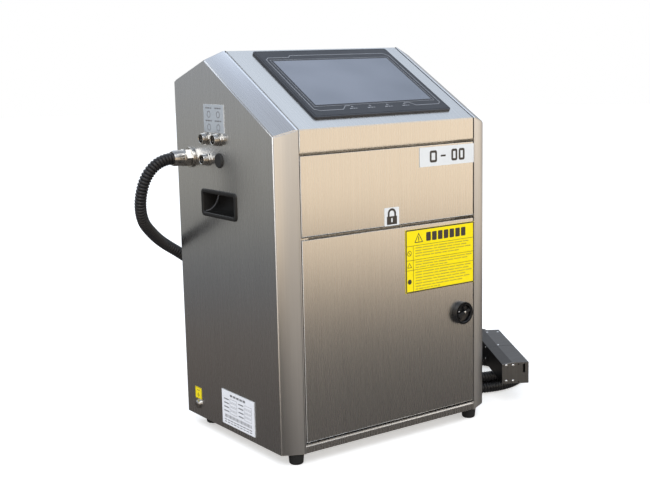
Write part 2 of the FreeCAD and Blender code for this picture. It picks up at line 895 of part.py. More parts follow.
def pins(name, places, rotation):
    """Pair of pivot pins, each centred on its place."""
    pieces = []
    for index, place_at in enumerate(places):
        direction = rotation.multVec(Vector(0, 0, 1))
        start = [size(value) - float(d.pin_length) / 2 * step
                 for value, step in zip(place_at, direction)]
        pieces.append(rod("%s_%d" % (name, index), d.pin_radius, d.pin_length, start, rotation))
    node(group(name, pieces), name)


def leaf_pins():
    """Pivot pins of the lid, the middle cover and the door."""
    for name, (_, y, z) in (("lid_pins", lid_pivot()), ("cover_pins", cover_pivot())):
        pins(name, [(side * (LEAF + d.edge_gap / 2), y, z) for side in (-1, 1)], ON_RIGHT)
    x = -LEAF + d.pivot_inset
    tab_top = d.door_top + d.tab_gap + d.tab_thickness
    pins("door_pins", [(x, PIVOT_Y, tab_top - d.pin_length / 2),
                       (x, PIVOT_Y, (d.door_bottom + d.rail_top) / 2 - d.wall / 2)], UPRIGHT)


# ---------------------------------------------------------------- cover and door


def folded_tray(name, bottom, top, pin_holes):
    """Front leaf folded back on all four sides, with holes for its pivot pins."""
    width, height = 2 * LEAF, top - bottom
    at = (size(0.0), FRONT, (top + bottom) / 2)
    body = new_body(name)
    sketch = new_sketch(body, name + "_outline", lift=-d.tray_depth)
    rectangle(sketch, width, height)
    raised = pad(body, sketch, d.tray_depth)

    def front_edge(edge):
        return all(abs(v.Point.z) < 1e-6 for v in edge.Vertexes)

    soften(body, raised, d.fold_radius, front_edge)
    sink(body, name + "_hollow", width - 2 * d.wall, height - 2 * d.wall,
         d.tray_depth - d.wall, -d.wall)
    place(body, at, ON_FRONT)
    holes = [rod("%s_hole_%d" % (name, n), d.pin_radius, d.pin_length, start, turn)
             for n, (start, turn) in enumerate(pin_holes)]
    return body, holes


def middle_cover():
    """Cover between the lid and the door, hung from its top edge."""
    _, y, z = cover_pivot()
    starts = [(LEAF - d.pin_length / 2, y, z), (-LEAF - d.pin_length / 2, y, z)]
    body, holes = folded_tray("cover_tray", d.cover_bottom, d.cover_top,
                              [(start, ON_RIGHT) for start in starts])
    node(cut("middle_cover", body, holes), "middle_cover")
    name_plate = slab("name_plate", d.name_width, d.name_height, d.plate_thickness,
                      (d.name_across, FRONT, d.name_level), ON_FRONT)
    node(name_plate, "name_plate")


def lower_door():
    """Service door with its seal, notice plate and latch hole."""
    x = -LEAF + d.pivot_inset
    starts = [(x, PIVOT_Y, d.door_top - d.pin_length / 2),
              (x, PIVOT_Y, d.door_bottom - d.pin_length / 2)]
    body, holes = folded_tray("door_tray", d.door_bottom, d.door_top,
                              [(start, UPRIGHT) for start in starts])
    latch_at = (d.latch_across, FRONT + 4 * d.wall, d.latch_height)
    holes.append(rod("latch_hole", d.latch_barrel + d.hole_clearance, 8 * d.wall,
                     latch_at, ON_FRONT))
    node(cut("lower_door", body, holes), "lower_door")
    seal_width, seal_height = 2 * LEAF, d.door_top - d.door_bottom
    middle = (d.door_top + d.door_bottom) / 2
    seal = slab("door_seal", seal_width, seal_height, d.seal_thickness,
                (size(0.0), FRONT + d.tray_depth + d.seal_thickness, middle), ON_FRONT)
    sink(seal, "seal_window", seal_width - 2 * d.seal_width, seal_height - 2 * d.seal_width,
         d.seal_thickness, d.seal_thickness)
    node(seal, "door_seal")
    notice = slab("notice_plate", d.notice_width, d.notice_height, d.plate_thickness,
                  (d.notice_across, FRONT, d.notice_level), ON_FRONT)
    node(notice, "notice_plate")


def door_latch():
    """Round latch: housing on the door, turning knob with its shaft, and the cam."""
    at = (d.latch_across, FRONT, d.latch_height)
    flange, barrel, well = d.latch_radius, d.latch_barrel, d.latch_recess
    shaft = d.latch_shaft + d.pin_clearance
    seat = d.latch_seat
    housing = turned("latch_housing", [
        (shaft, -d.latch_body), (barrel, -d.latch_body), (barrel, 0.0), (flange, 0.0),
        (flange, d.latch_proud), (well + d.knob_clearance, d.latch_proud),
        (well + d.knob_clearance, seat), (shaft, seat)], at, ON_FRONT)
    node(housing, "latch_housing")
    cam_start = d.rebate + d.cam_gap
    face = seat + d.knob_clearance
    dial = rod("knob_dial", well, d.dial_thickness, (at[0], FRONT - face, at[2]), ON_FRONT)
    stem = rod("knob_stem", d.latch_shaft, cam_start + d.cam_thickness + face,
               (at[0], FRONT + cam_start + d.cam_thickness, at[2]), ON_FRONT)
    wing = block("knob_wing", d.wing_length, d.wing_width, d.latch_proud - face,
                 (at[0] - d.wing_length / 2, FRONT - face, at[2] - d.wing_width / 2), ON_FRONT)
    node(fused("latch_knob", [dial, stem, wing]), "latch_knob")
    arm = block("cam_arm", d.cam_width, d.cam_length, d.cam_thickness,
                (at[0] - d.cam_width / 2, FRONT + cam_start + d.cam_thickness,
                 at[2] + d.cam_width / 2 - d.cam_length), ON_FRONT)
    hole = rod("cam_hole", d.latch_shaft, 3 * d.cam_thickness,
               (at[0], FRONT + cam_start + 2 * d.cam_thickness, at[2]), ON_FRONT)
    node(cut("latch_cam", arm, [hole]), "latch_cam")


# ---------------------------------------------------------------- left and right sides


def handle_cup(name, sign):
    """Recessed hand grip with a rounded lip."""
    rotation = ON_RIGHT if sign > 0 else ON_LEFT
    at = (sign * HALF_WIDTH, d.handle_back, d.handle_level)
    lip = d.handle_lip + d.hole_clearance
    throat_w, throat_h = d.handle_width - 2 * lip, d.handle_height - 2 * lip
    body = new_body(name)
    back = new_sketch(body, name + "_cup", lift=-d.handle_depth)
    rectangle(back, throat_w, throat_h)
    pad(body, back, d.handle_depth)
    face = new_sketch(body, name + "_lip")
    rectangle(face, d.handle_width, d.handle_height)
    raised = pad(body, face, d.handle_proud)

    def lip_corner(edge):
        far = all(abs(v.Point.x) > float(throat_w) / 2 + 1 for v in edge.Vertexes)
        return upright_edge(edge) and far

    soften(body, raised, d.handle_corner, lip_corner)
    sink(body, name + "_hollow", throat_w - 2 * d.handle_wall, throat_h - 2 * d.handle_wall,
         d.handle_depth + d.handle_proud - d.handle_wall, d.handle_proud)
    node(place(body, at, rotation), name)


def left_side_fittings():
    """Sockets, plug, gland, earth screw and label plates on the left side."""
    wall_x = -HALF_WIDTH
    for index, (y, z) in enumerate(socket_places(), start=1):
        name = "signal_socket_%d" % index
        socket = turned(name, [
            (0.0, -d.socket_tail), (d.socket_hole, -d.socket_tail), (d.socket_hole, 0.0),
            (d.socket_nut, 0.0), (d.socket_nut, d.socket_nut_height),
            (d.socket_radius, d.socket_nut_height), (d.socket_radius, d.socket_proud),
            (d.socket_bore, d.socket_proud), (d.socket_bore, d.socket_nut_height),
            (0.0, d.socket_nut_height)], (wall_x, y, z), ON_LEFT)
        node(socket, name)
    plug = turned("blanking_plug", [
        (0.0, -3 * d.wall), (d.plug_stem, -3 * d.wall), (d.plug_stem, 0.0),
        (d.plug_radius, 0.0), (d.plug_radius - 1.5, d.plug_proud), (0.0, d.plug_proud)],
        (wall_x, d.socket_near, d.socket_low), ON_LEFT)
    node(plug, "blanking_plug")
    screw = turned("earth_screw", [
        (0.0, -4 * d.wall), (d.earth_radius, -4 * d.wall), (d.earth_radius, 0.0),
        (1.6 * d.earth_radius, 0.0), (1.6 * d.earth_radius, d.earth_proud),
        (0.0, d.earth_proud)], (wall_x, d.earth_back, d.earth_level), ON_LEFT)
    node(screw, "earth_screw")
    for name, width, height, y, z in (
            ("legend_plate", d.legend_width, d.legend_height, d.legend_back, d.legend_level),
            ("rating_plate", d.rating_width, d.rating_height, d.rating_back, d.rating_level)):
        node(slab(name, width, height, d.plate_thickness, (wall_x, y, z), ON_LEFT), name)


def hose_gland():
    """Gland body with its washer and thread, and the clamping sleeve."""
    wall_x, y, z = -HALF_WIDTH, d.gland_back, d.gland_level
    bore_radius = d.hose_diameter / 2
    body = turned("gland_thread", [
        (bore_radius - 2, -d.gland_tail), (d.gland_thread, -d.gland_tail),
        (d.gland_thread, 0.0), (d.gland_washer, 0.0),
        (d.gland_washer, d.gland_washer_height), (bore_radius - 2, d.gland_washer_height)],
        (wall_x, y, z), ON_LEFT)
    hex_start = wall_x - d.gland_washer_height
    nut = hexagon("gland_hex", d.gland_hex, d.gland_hex_height, (hex_start, y, z), ON_LEFT)
    hole = rod("gland_hex_bore", bore_radius - 2, d.gland_hex_height, (hex_start, y, z), ON_LEFT)
    node(fused("gland_body", [body, cut("gland_nut", nut, [hole])]), "gland_body")
    start = hex_start - d.gland_hex_height
    length = d.gland_sleeve_height
    grip = bore_radius + d.sleeve_play
    sleeve = turned("gland_sleeve", [
        (grip, 0.0), (d.gland_sleeve, 0.0), (d.gland_sleeve, length - d.sleeve_taper),
        (d.gland_sleeve - 1, length), (grip, length)], (start, y, z), ON_LEFT)
    node(sleeve, "gland_sleeve")


def feet():
    """Four tapered rubber feet and the screws that hold them."""
    rubber, screws = [], []
    well = 2 * d.screw_radius
    for index, (x, y) in enumerate(foot_places()):
        foot = turned("foot_%d" % index, [
            (d.screw_radius, BASE), (d.foot_top_radius, BASE),
            (d.foot_bottom_radius, d.foot_edge), (d.foot_bottom_radius - d.foot_edge, 0.0),
            (well, 0.0), (well, BASE / 2), (d.screw_radius, BASE / 2)], (x, y, size(0.0)))
        rubber.append(foot)
        screws.append(turned("screw_%d" % index, [
            (0.0, BASE / 2 - 3), (well - 0.5, BASE / 2 - 3), (well - 0.5, BASE / 2),
            (d.screw_radius, BASE / 2), (d.screw_radius, BASE + 4 * d.wall),
            (0.0, BASE + 4 * d.wall)], (x, y, size(0.0))))
    node(group("rubber_feet", rubber), "rubber_feet")
    node(group("foot_screws", screws), "foot_screws")


# ---------------------------------------------------------------- rear fittings


def fan():
    """Axial fan: frame with its motor mount, finger guard, and the turning rotor."""
    at = (d.fan_across, BACK - d.wall, d.fan_level)
    frame = slab("fan_shell", d.fan_size, d.fan_size, d.fan_thickness,
                 (at[0], BACK - d.wall - d.fan_thickness, at[2]), ON_BACK, d.display_corner)
    drill(frame, "fan_shell_bore", d.fan_bore, d.fan_thickness, d.fan_thickness)
    inner_y = BACK - d.wall - d.fan_thickness
    mount = rod("fan_mount", d.fan_hub, d.mount_thickness, (at[0], inner_y, at[2]), ON_BACK)
    spoke_at = (at[0], inner_y + d.spoke_depth / 2, at[2])
    reach = d.fan_size - d.spoke_depth
    spokes = [centred_block("fan_spoke_x", reach, d.spoke_depth, d.spoke_width, spoke_at),
              centred_block("fan_spoke_z", d.spoke_width, d.spoke_depth, reach, spoke_at)]
    axle = rod("fan_axle", d.axle_radius, d.axle_length, (at[0], inner_y, at[2]), ON_BACK)
    node(fused("fan_frame", [frame, mount, axle] + spokes), "fan_frame")
    hub_start = inner_y + d.rotor_setback
    hub = new_body("fan_rotor")
    disc = new_sketch(hub, "rotor_hub")
    circle(disc, d.fan_hub)
    pad(hub, disc, d.blade_height)
    blade = new_sketch(hub, "rotor_blade")
    tip = d.fan_bore - d.fan_tip_gap
    lean = d.fan_hub / 2
    outline(blade, [(d.fan_hub / 2, 0.0), (tip, lean), (tip, lean + d.blade_thickness),
                    (d.fan_hub / 2, d.blade_thickness)])
    paddle = pad(hub, blade, d.blade_height)
    pattern = hub.newObject("PartDesign::PolarPattern", "rotor_blades")
    pattern.Originals = [paddle]
    pattern.Axis = (blade, ["N_Axis"])
    pattern.Angle = 360.0
    pattern.Occurrences = 7
    hub.Tip = pattern
    doc.recompute()
    drill(hub, "rotor_bore", d.axle_radius + d.pin_clearance, d.blade_height, d.blade_height)
    node(place(hub, (at[0], hub_start, at[2]), ON_BACK), "fan_rotor")
    guard_y = BACK + d.guard_wire
    wires = []
    for index, share in enumerate((0.35, 0.65, 0.95)):
        ring = doc.addObject("Part::Torus", "guard_ring_%d" % index)
        bind(ring, "Radius1", d.fan_bore * share)
        bind(ring, "Radius2", d.guard_wire)
        wires.append(place(ring, (at[0], guard_y, at[2]), ON_BACK))
    bar = d.guard_bar
    wires.append(rod("guard_bar_x", d.guard_wire, bar, (at[0] - bar / 2, guard_y, at[2]), ON_RIGHT))
    wires.append(rod("guard_bar_z", d.guard_wire, bar, (at[0], guard_y, at[2] - bar / 2)))
    node(fused("finger_guard", wires), "finger_guard")


def power_inlet():
    """Mains inlet with its flange, plug recess and rocker well, and the rocker."""
    at = (d.inlet_across, BACK, d.inlet_level)
    body = new_body("power_inlet")
    rear = new_sketch(body, "inlet_case", lift=-d.inlet_depth)
    rectangle(rear, d.inlet_width - d.case_margin, d.inlet_height - d.case_margin)
    pad(body, rear, d.inlet_depth)
    face = new_sketch(body, "inlet_face")
    rectangle(face, d.inlet_width, d.inlet_height)
    pad(body, face, d.inlet_flange)
    socket_at = d.inlet_width / 5
    sink(body, "inlet_recess", d.recess_width, d.recess_height, d.recess_depth,
         d.inlet_flange, (socket_at, 0.0))
    well = 2 * d.rocker_gap
    sink(body, "rocker_well", d.rocker_width + well, d.rocker_height + well, d.rocker_well,
         d.inlet_flange, (-socket_at, 0.0))
    node(place(body, at, ON_BACK), "power_inlet")
    rocker = new_body("power_rocker")
    side = new_sketch(rocker, "rocker_side", "YZ_Plane", -(d.rocker_width / 2))
    half = d.rocker_height / 2 - d.rocker_gap
    outline(side, [(-half, -2.0), (0.0, -d.rocker_depth), (half, -2.0), (half, 0.0),
                   (0.0, 0.8), (-half, 2.6)])
    pad(rocker, side, d.rocker_width)
    node(place(rocker, (d.inlet_across + socket_at, BACK + d.inlet_flange, d.inlet_level),
               ON_BACK), "power_rocker")


# ---------------------------------------------------------------- inside the cabinet


def mid_shelf():
    """Shelf between the wet lower bay and the electronics, folded down at its ends."""
    clear = d.wall + d.seam
    start = FRONT + d.rebate + d.rail_width + d.seam
    length, depth = d.width - 2 * clear, BACK - clear - start
    top = block("shelf_top", length, depth, d.wall, (-HALF_WIDTH + clear, start, d.shelf_height))
    sides = [block("shelf_end_%d" % n, d.wall, depth, 20.0, (x, start, d.shelf_height - 20.0))
             for n, x in enumerate((-HALF_WIDTH + clear, HALF_WIDTH - clear - d.wall))]
    node(fused("mid_shelf", [top] + sides), "mid_shelf")


def bottle_row():
    """Distance back of the bottles' middles."""
    return FRONT + d.bottle_setback


def bottle(name, x):
    """Fluid bottle: hollow, with a shouldered neck."""
    radius, height, neck, skin = d.bottle_radius, d.bottle_height, d.bottle_neck, d.bottle_wall
    shoulder = height - d.bottle_shoulder
    at = (x, bottle_row(), BASE + 2 * d.wall + d.tray_wall)
    body = turned(name, [
        (0.0, 0.0), (radius - 3, 0.0), (radius, 3.0), (radius, shoulder - 20),
        (neck, shoulder), (neck, height), (neck - skin, height), (neck - skin, shoulder - 1),
        (radius - skin, shoulder - 21), (radius - skin, 4.0), (radius - 4, skin), (0.0, skin)], at)
    node(body, name)


def fluid_bay():
    """Drip tray, ink and solvent bottles with caps, pump, filter and valve manifold."""
    low = BASE + 2 * d.wall
    tray = slab("bottle_tray", d.tray_length, d.tray_width, d.tray_rim,
                (d.bottle_across, bottle_row(), low), corner=d.handle_corner)
    sink(tray, "tray_hollow", d.tray_length - 2 * d.tray_wall, d.tray_width - 2 * d.tray_wall,
         d.tray_rim - d.tray_wall, d.tray_rim)
    node(tray, "bottle_tray")
    caps = []
    for name, side in (("ink_bottle", -1), ("solvent_bottle", 1)):
        x = d.bottle_across + side * d.bottle_spacing / 2
        bottle(name, x)
        neck = d.bottle_neck + d.pin_clearance
        grip, skirt = d.cap_grip + d.knob_clearance, d.knob_clearance
        caps.append(turned(name + "_cap", [
            (0.0, grip), (neck, grip), (neck, skirt), (d.cap_radius, skirt),
            (d.cap_radius, d.cap_height - 2), (d.cap_radius - 2, d.cap_height),
            (0.0, d.cap_height)],
            (x, bottle_row(), low + d.tray_wall + d.bottle_height - d.cap_grip)))
    node(group("bottle_caps", caps), "bottle_caps")
    pump_x = HALF_WIDTH - 3 * d.pump_radius
    motor, neck_top = d.pump_motor_length, d.pump_motor_length + d.pump_neck_length
    pump = turned("pump", [
        (0.0, 0.0), (d.pump_radius, 0.0), (d.pump_radius, motor),
        (d.pump_neck_radius, motor), (d.pump_neck_radius, neck_top),
        (d.pump_head_radius, neck_top), (d.pump_head_radius, d.pump_length),
        (0.0, d.pump_length)], (pump_x, BACK - 2 * d.pump_radius, low))
    node(pump, "pump")
    ink_filter = turned("ink_filter", [
        (0.0, 0.0), (d.filter_radius, 0.0), (d.filter_radius, d.filter_bowl),
        (d.filter_neck, d.filter_bowl + d.filter_shoulder), (d.filter_neck, d.filter_height),
        (0.0, d.filter_height)], (pump_x, size(0.0), low))
    node(ink_filter, "ink_filter")
    bar = centred_block("manifold_bar", d.manifold_length, d.manifold_depth, d.manifold_height,
                        (size(0.0), BACK - 2 * d.manifold_depth, d.shelf_height - d.manifold_drop))
    valves = [rod("valve_%d" % n, d.valve_radius, d.valve_height,
                  (-d.manifold_length / 2 + (n + 0.5) * d.manifold_length / 4,
                   BACK - 2 * d.manifold_depth, d.shelf_height - d.manifold_drop + d.manifold_height / 2))
              for n in range(4)]
    node(fused("valve_manifold", [bar] + valves), "valve_manifold")


def electronics():
    """Control board on stand-offs and the power supply, on the shelf."""
    top = d.shelf_height + d.wall
    board_y = BACK - d.wall - d.seam - d.standoff - d.board_thickness
    board = block("board_plate", d.board_length, d.board_thickness, d.board_height,
                  (-HALF_WIDTH + 40, board_y, top + 8))
    legs = [rod("board_leg_%d_%d" % (n, m), d.standoff_radius, d.standoff,
                (-HALF_WIDTH + 48 + n * (d.board_length - 16), board_y + d.board_thickness,
                 top + 16 + m * (d.board_height - 16)), ON_BACK)
            for n in range(2) for m in range(2)]
    node(fused("control_board", [board] + legs), "control_board")
    supply = block("power_supply", d.supply_length, d.supply_depth, d.supply_height,
                   (-d.supply_length / 2, size(-30.0), top))
    node(supply, "power_supply")


# ---------------------------------------------------------------- print head


def head_section(inset):
    """Print head's bevelled cross section, moved in by a wall: (across, up) corners."""
    half, top = d.head_width / 2 - inset, d.head_height - inset
    knee = d.head_width / 2 - d.head_bevel_run
    return [(-half, size(inset)), (half, size(inset)), (half, top), (-knee, top),
            (-half, top - d.head_bevel_fall)]


def head_tube(name, start, length, wall, back_wall):
    """Bevelled tube along the head, closed at its rear when back_wall is set."""
    body = new_body(name)
    outer = new_sketch(body, name + "_outer")
    outline(outer, head_section(0.0))
    pad(body, outer, length)
    inner = new_sketch(body, name + "_inner", lift=length)
    outline(inner, head_section(wall))
    pocket(body, inner, length - back_wall)
    return place(body, on_head(start, 0.0, 0.0), ALONG)


def jet_parts(start):
    """Deck inside the cover with the nozzle, the jet guides round the jet and the gutter."""
    floor = 2 * d.head_wall
    deck = block("head_deck", d.deck_width, d.deck_thickness, d.head_cover_length - 2,
                 on_head(start, -(d.deck_width / 2), floor), ALONG)
    node(deck, "head_deck")
    top = floor + d.deck_thickness
    nozzle = block("nozzle_case", d.nozzle_width, d.nozzle_height, d.nozzle_length,
                   on_head(start + d.nozzle_start, d.slot_across - d.nozzle_width / 2, top), ALONG)
    barrel = rod("nozzle_barrel", d.barrel_radius, d.barrel_length,
                 on_head(start + d.nozzle_start + d.nozzle_length, d.slot_across, d.jet_level),
                 ALONG)
    node(fused("nozzle_unit", [nozzle, barrel]), "nozzle_unit")
    ahead = start + d.guide_start
    ceiling = d.jet_level + d.guide_rise
    lower = block("lower_guide", d.guide_width, d.jet_level - d.guide_gap - top, d.guide_length,
                  on_head(ahead, d.guide_side, top), ALONG)
    post = block("guide_post", d.guide_thickness, ceiling - top, d.guide_length,
                 on_head(ahead, d.guide_side + d.guide_width - d.guide_thickness, top), ALONG)
    upper = block("upper_guide", d.guide_width, d.guide_thickness, d.guide_length,
                  on_head(ahead, d.guide_side, ceiling), ALONG)
    gutter = block("ink_gutter", d.gutter_width, d.jet_level + d.barrel_radius / 2 - top,
                   d.gutter_length,
                   on_head(start + d.gutter_start, d.slot_across - d.gutter_width / 2, top), ALONG)
    node(group("jet_guides", [fused("guides", [lower, post, upper]), gutter]), "jet_guides")


def print_head():
    """Rear block, sliding cover with its slotted end plate, and the jet parts on a deck."""
    rear_length = d.head_length - d.head_cover_length
    rear = head_tube("rear_shell", 0.0, rear_length, 2 * d.head_wall, 2 * d.head_wall)
    hole = rod("rear_bore", d.hose_diameter / 2 - 2, 8 * d.head_wall,
               on_head(-4 * d.head_wall, 0.0, d.head_height / 2), ALONG)
    node(cut("head_block", rear, [hole]), "head_block")
    play = d.hole_clearance
    end = d.head_wall
    cover = head_tube("head_cover", rear_length + play, d.head_cover_length - play - end,
                      d.head_wall, 0.0)
    node(cover, "head_cover")
    plate = new_body("head_end_plate")
    face = new_sketch(plate, "end_plate_outline")
    outline(face, head_section(0.0))
    pad(plate, face, end)
    sink(plate, "print_slot", d.slot_width, d.slot_height, end, end,
         (d.slot_across, d.slot_level))
    node(place(plate, on_head(d.head_length - end, 0.0, 0.0), ALONG), "head_end_plate")
    jet_parts(rear_length - d.deck_overlap)
    tight = d.hose_diameter / 2 + d.sleeve_play
    relief = turned("strain_relief", [
        (tight, 0.0), (d.relief_radius - 2.0, 0.0), (d.relief_radius, d.relief_length - d.relief_collar),
        (d.relief_radius, d.relief_length), (tight, d.relief_length)],
        on_head(-d.relief_length, 0.0, d.head_height / 2), ALONG)
    node(relief, "strain_relief")


# ---------------------------------------------------------------- umbilical hose

# The hose leaves the gland, drops behind the cabinet to the floor, is coiled at the right
# side and comes back up into the rear of the print head.
HOSE_LEAD = [(-208.0, 94.5, 398.7), (-227.0, 94.6, 398.6), (-250.0, 98.2, 378.0),
             (-258.0, 105.0, 343.0), (-248.5, 119.5, 311.5), (-225.0, 141.0, 290.5),
             (-198.0, 161.0, 270.0), (-160.0, 167.0, 246.0), (-112.0, 169.0, 208.0),
             (-62.0, 168.0, 158.0), (-14.0, 167.0, 104.0), (34.0, 166.0, 54.0),
             (86.0, 165.0, 22.0), (140.0, 164.0, 10.0), (190.0, 159.0, 18.0),
             (232.0, 148.0, 28.0), (264.0, 136.0, 27.0), (290.0, 128.5, 23.2)]
HOSE_TAIL = [(215.1, 85.3, 8.6), (235.0, 120.0, 8.6), (260.0, 158.0, 8.6),
             (300.0, 184.0, 9.5), (348.0, 178.0, 20.0), (377.0, 140.0, 38.0),
             (377.0, 104.0, 50.0), (364.0, 73.4, 53.5)]


def hose_path(points):
    """Straight runs joined by tangent arcs; returns the wire and the arcs' radii."""
    corners = [Vector(*point) for point in points]
    edges, radii = [], []
    here = corners[0]
    for before, corner, after in zip(corners, corners[1:], corners[2:]):
        into, out_of = corner - before, after - corner
        turn = into.getAngle(out_of)
        tangent = 0.45 * min(into.Length, out_of.Length)
        radii.append(tangent / math.tan(turn / 2))
        start = corner - Vector(into).normalize() * tangent
        end = corner + Vector(out_of).normalize() * tangent
        bulge = Vector(out_of).normalize() - Vector(into).normalize()
        depth = radii[-1] * (1 / math.cos(turn / 2) - 1)
        middle = corner + bulge.normalize() * depth
        edges += [Part.LineSegment(here, start).toShape(), Part.Arc(start, middle, end).toShape()]
        here = end
    edges.append(Part.LineSegment(here, corners[-1]).toShape())
    return Part.Wire(edges), radii


def hose_tube(name, points):
    """Tube along a stretch of the hose that isn't coiled."""
    wire, radii = hose_path(points)
    radius = float(d.hose_diameter) / 2
    heading = wire.Edges[0].tangentAt(wire.Edges[0].FirstParameter)
    section = Part.Wire([Part.Circle(Vector(*points[0]), heading, radius).toShape()])
    tube = wire.makePipeShell([section], True, True)
    expected = math.pi * radius ** 2 * wire.Length
    print("%s: length %.0f, volume ratio %.4f, radii %s"
          % (name, wire.Length, tube.Volume / expected, [round(r) for r in radii]))
    node(shaped(name, tube), name)


def hose_coil():
    """Outer form of the coiled stretch, lying on the floor."""
    inner = d.coil_radius - d.coil_band / 2
    outer = d.coil_radius + d.coil_band / 2
    edge = d.hose_diameter / 4
    coil = turned("hose_coil", [
        (inner + edge, 0.0), (outer - edge, 0.0), (outer, edge),
        (outer, d.coil_height - edge), (outer - edge, d.coil_height),
        (inner + edge, d.coil_height), (inner, d.coil_height - edge), (inner, edge)],
        (d.coil_x, d.coil_y, size(0.0)))
    node(coil, "hose_coil")


# ---------------------------------------------------------------- assembly


def build():
    """Make every sub-part in turn."""
    side_panel("left_side_panel", -1)
    side_panel("right_side_panel", 1)
    roof_panel()
    rear_panel()
    base_pan()
    cross_rails()
    lower_rail()
    display_lid()
    display()
    leaf_pins()
    middle_cover()
    lower_door()
    door_latch()
    handle_cup("left_handle_cup", -1)
    handle_cup("right_handle_cup", 1)
    left_side_fittings()
    hose_gland()
    feet()
    fan()
    power_inlet()
    mid_shelf()
    fluid_bay()
    electronics()
    print_head()
    hose_tube("hose_lead", HOSE_LEAD)
    hose_coil()
    hose_tube("hose_tail", HOSE_TAIL)


def check_and_write():
    """Refuse a failed object or a bad shape, then write one file per node."""
    doc.recompute()
    failed = [obj.Label for obj in doc.Objects if {"Invalid", "Error"} & set(obj.State)]
    if failed:
        raise ValueError("failed objects: %s" % failed)
    for obj in NODES:
        if obj.Shape.isNull() or not obj.Shape.isValid() or not obj.Shape.Solids:
            raise ValueError("bad shape: %s" % obj.Label)
    os.makedirs("parts", exist_ok=True)
    for obj in NODES:
        obj.Shape.exportStep("parts/%s.step" % obj.Label)
    print("%d nodes written" % len(NODES))


build()
check_and_write()
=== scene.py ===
"""Looks of a date code inkjet printer: steel cabinet, hose and print head.

Everything is in metres in the part's own frame: X to the right across the front, Y to the
back, Z up. Folded sheets keep their shape and get rounded bends; printed films, the hose, the
hand grips and small fixings are built here.
"""

import json
import logging
import math
from dataclasses import dataclass
from enum import Enum

import bmesh
import bpy
from mathutils import Matrix, Vector


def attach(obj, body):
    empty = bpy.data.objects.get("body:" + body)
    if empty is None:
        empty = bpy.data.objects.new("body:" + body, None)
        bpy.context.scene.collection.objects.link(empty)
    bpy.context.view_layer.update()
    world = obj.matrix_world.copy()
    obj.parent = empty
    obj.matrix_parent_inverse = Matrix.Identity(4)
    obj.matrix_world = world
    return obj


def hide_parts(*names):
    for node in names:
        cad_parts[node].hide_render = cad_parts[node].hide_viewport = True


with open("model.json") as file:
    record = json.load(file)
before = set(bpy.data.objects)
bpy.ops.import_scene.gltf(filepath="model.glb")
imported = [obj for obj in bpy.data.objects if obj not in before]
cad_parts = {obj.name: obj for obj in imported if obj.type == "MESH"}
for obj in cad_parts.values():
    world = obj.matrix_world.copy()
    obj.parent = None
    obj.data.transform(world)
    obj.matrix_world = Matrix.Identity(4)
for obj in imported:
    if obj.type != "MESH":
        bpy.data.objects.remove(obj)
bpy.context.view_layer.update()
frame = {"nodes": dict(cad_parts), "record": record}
logging.basicConfig(level=logging.INFO, format="%(message)s")
LOG = logging.getLogger("coder")

Point = tuple[float, float, float]
Colour = tuple[float, float, float]

FRONT_Y = -0.134
BACK_Y = 0.134
SIDE_X = 0.180
CREASE_Z = 0.445
SLOPE = math.radians(29.9)


class Grain(Enum):
    """Which way a sheet's polishing lines run."""

    SHEET = "sheet"
    LENGTHWISE = "lengthwise"


# ------------------------------------------------------------------ finishes


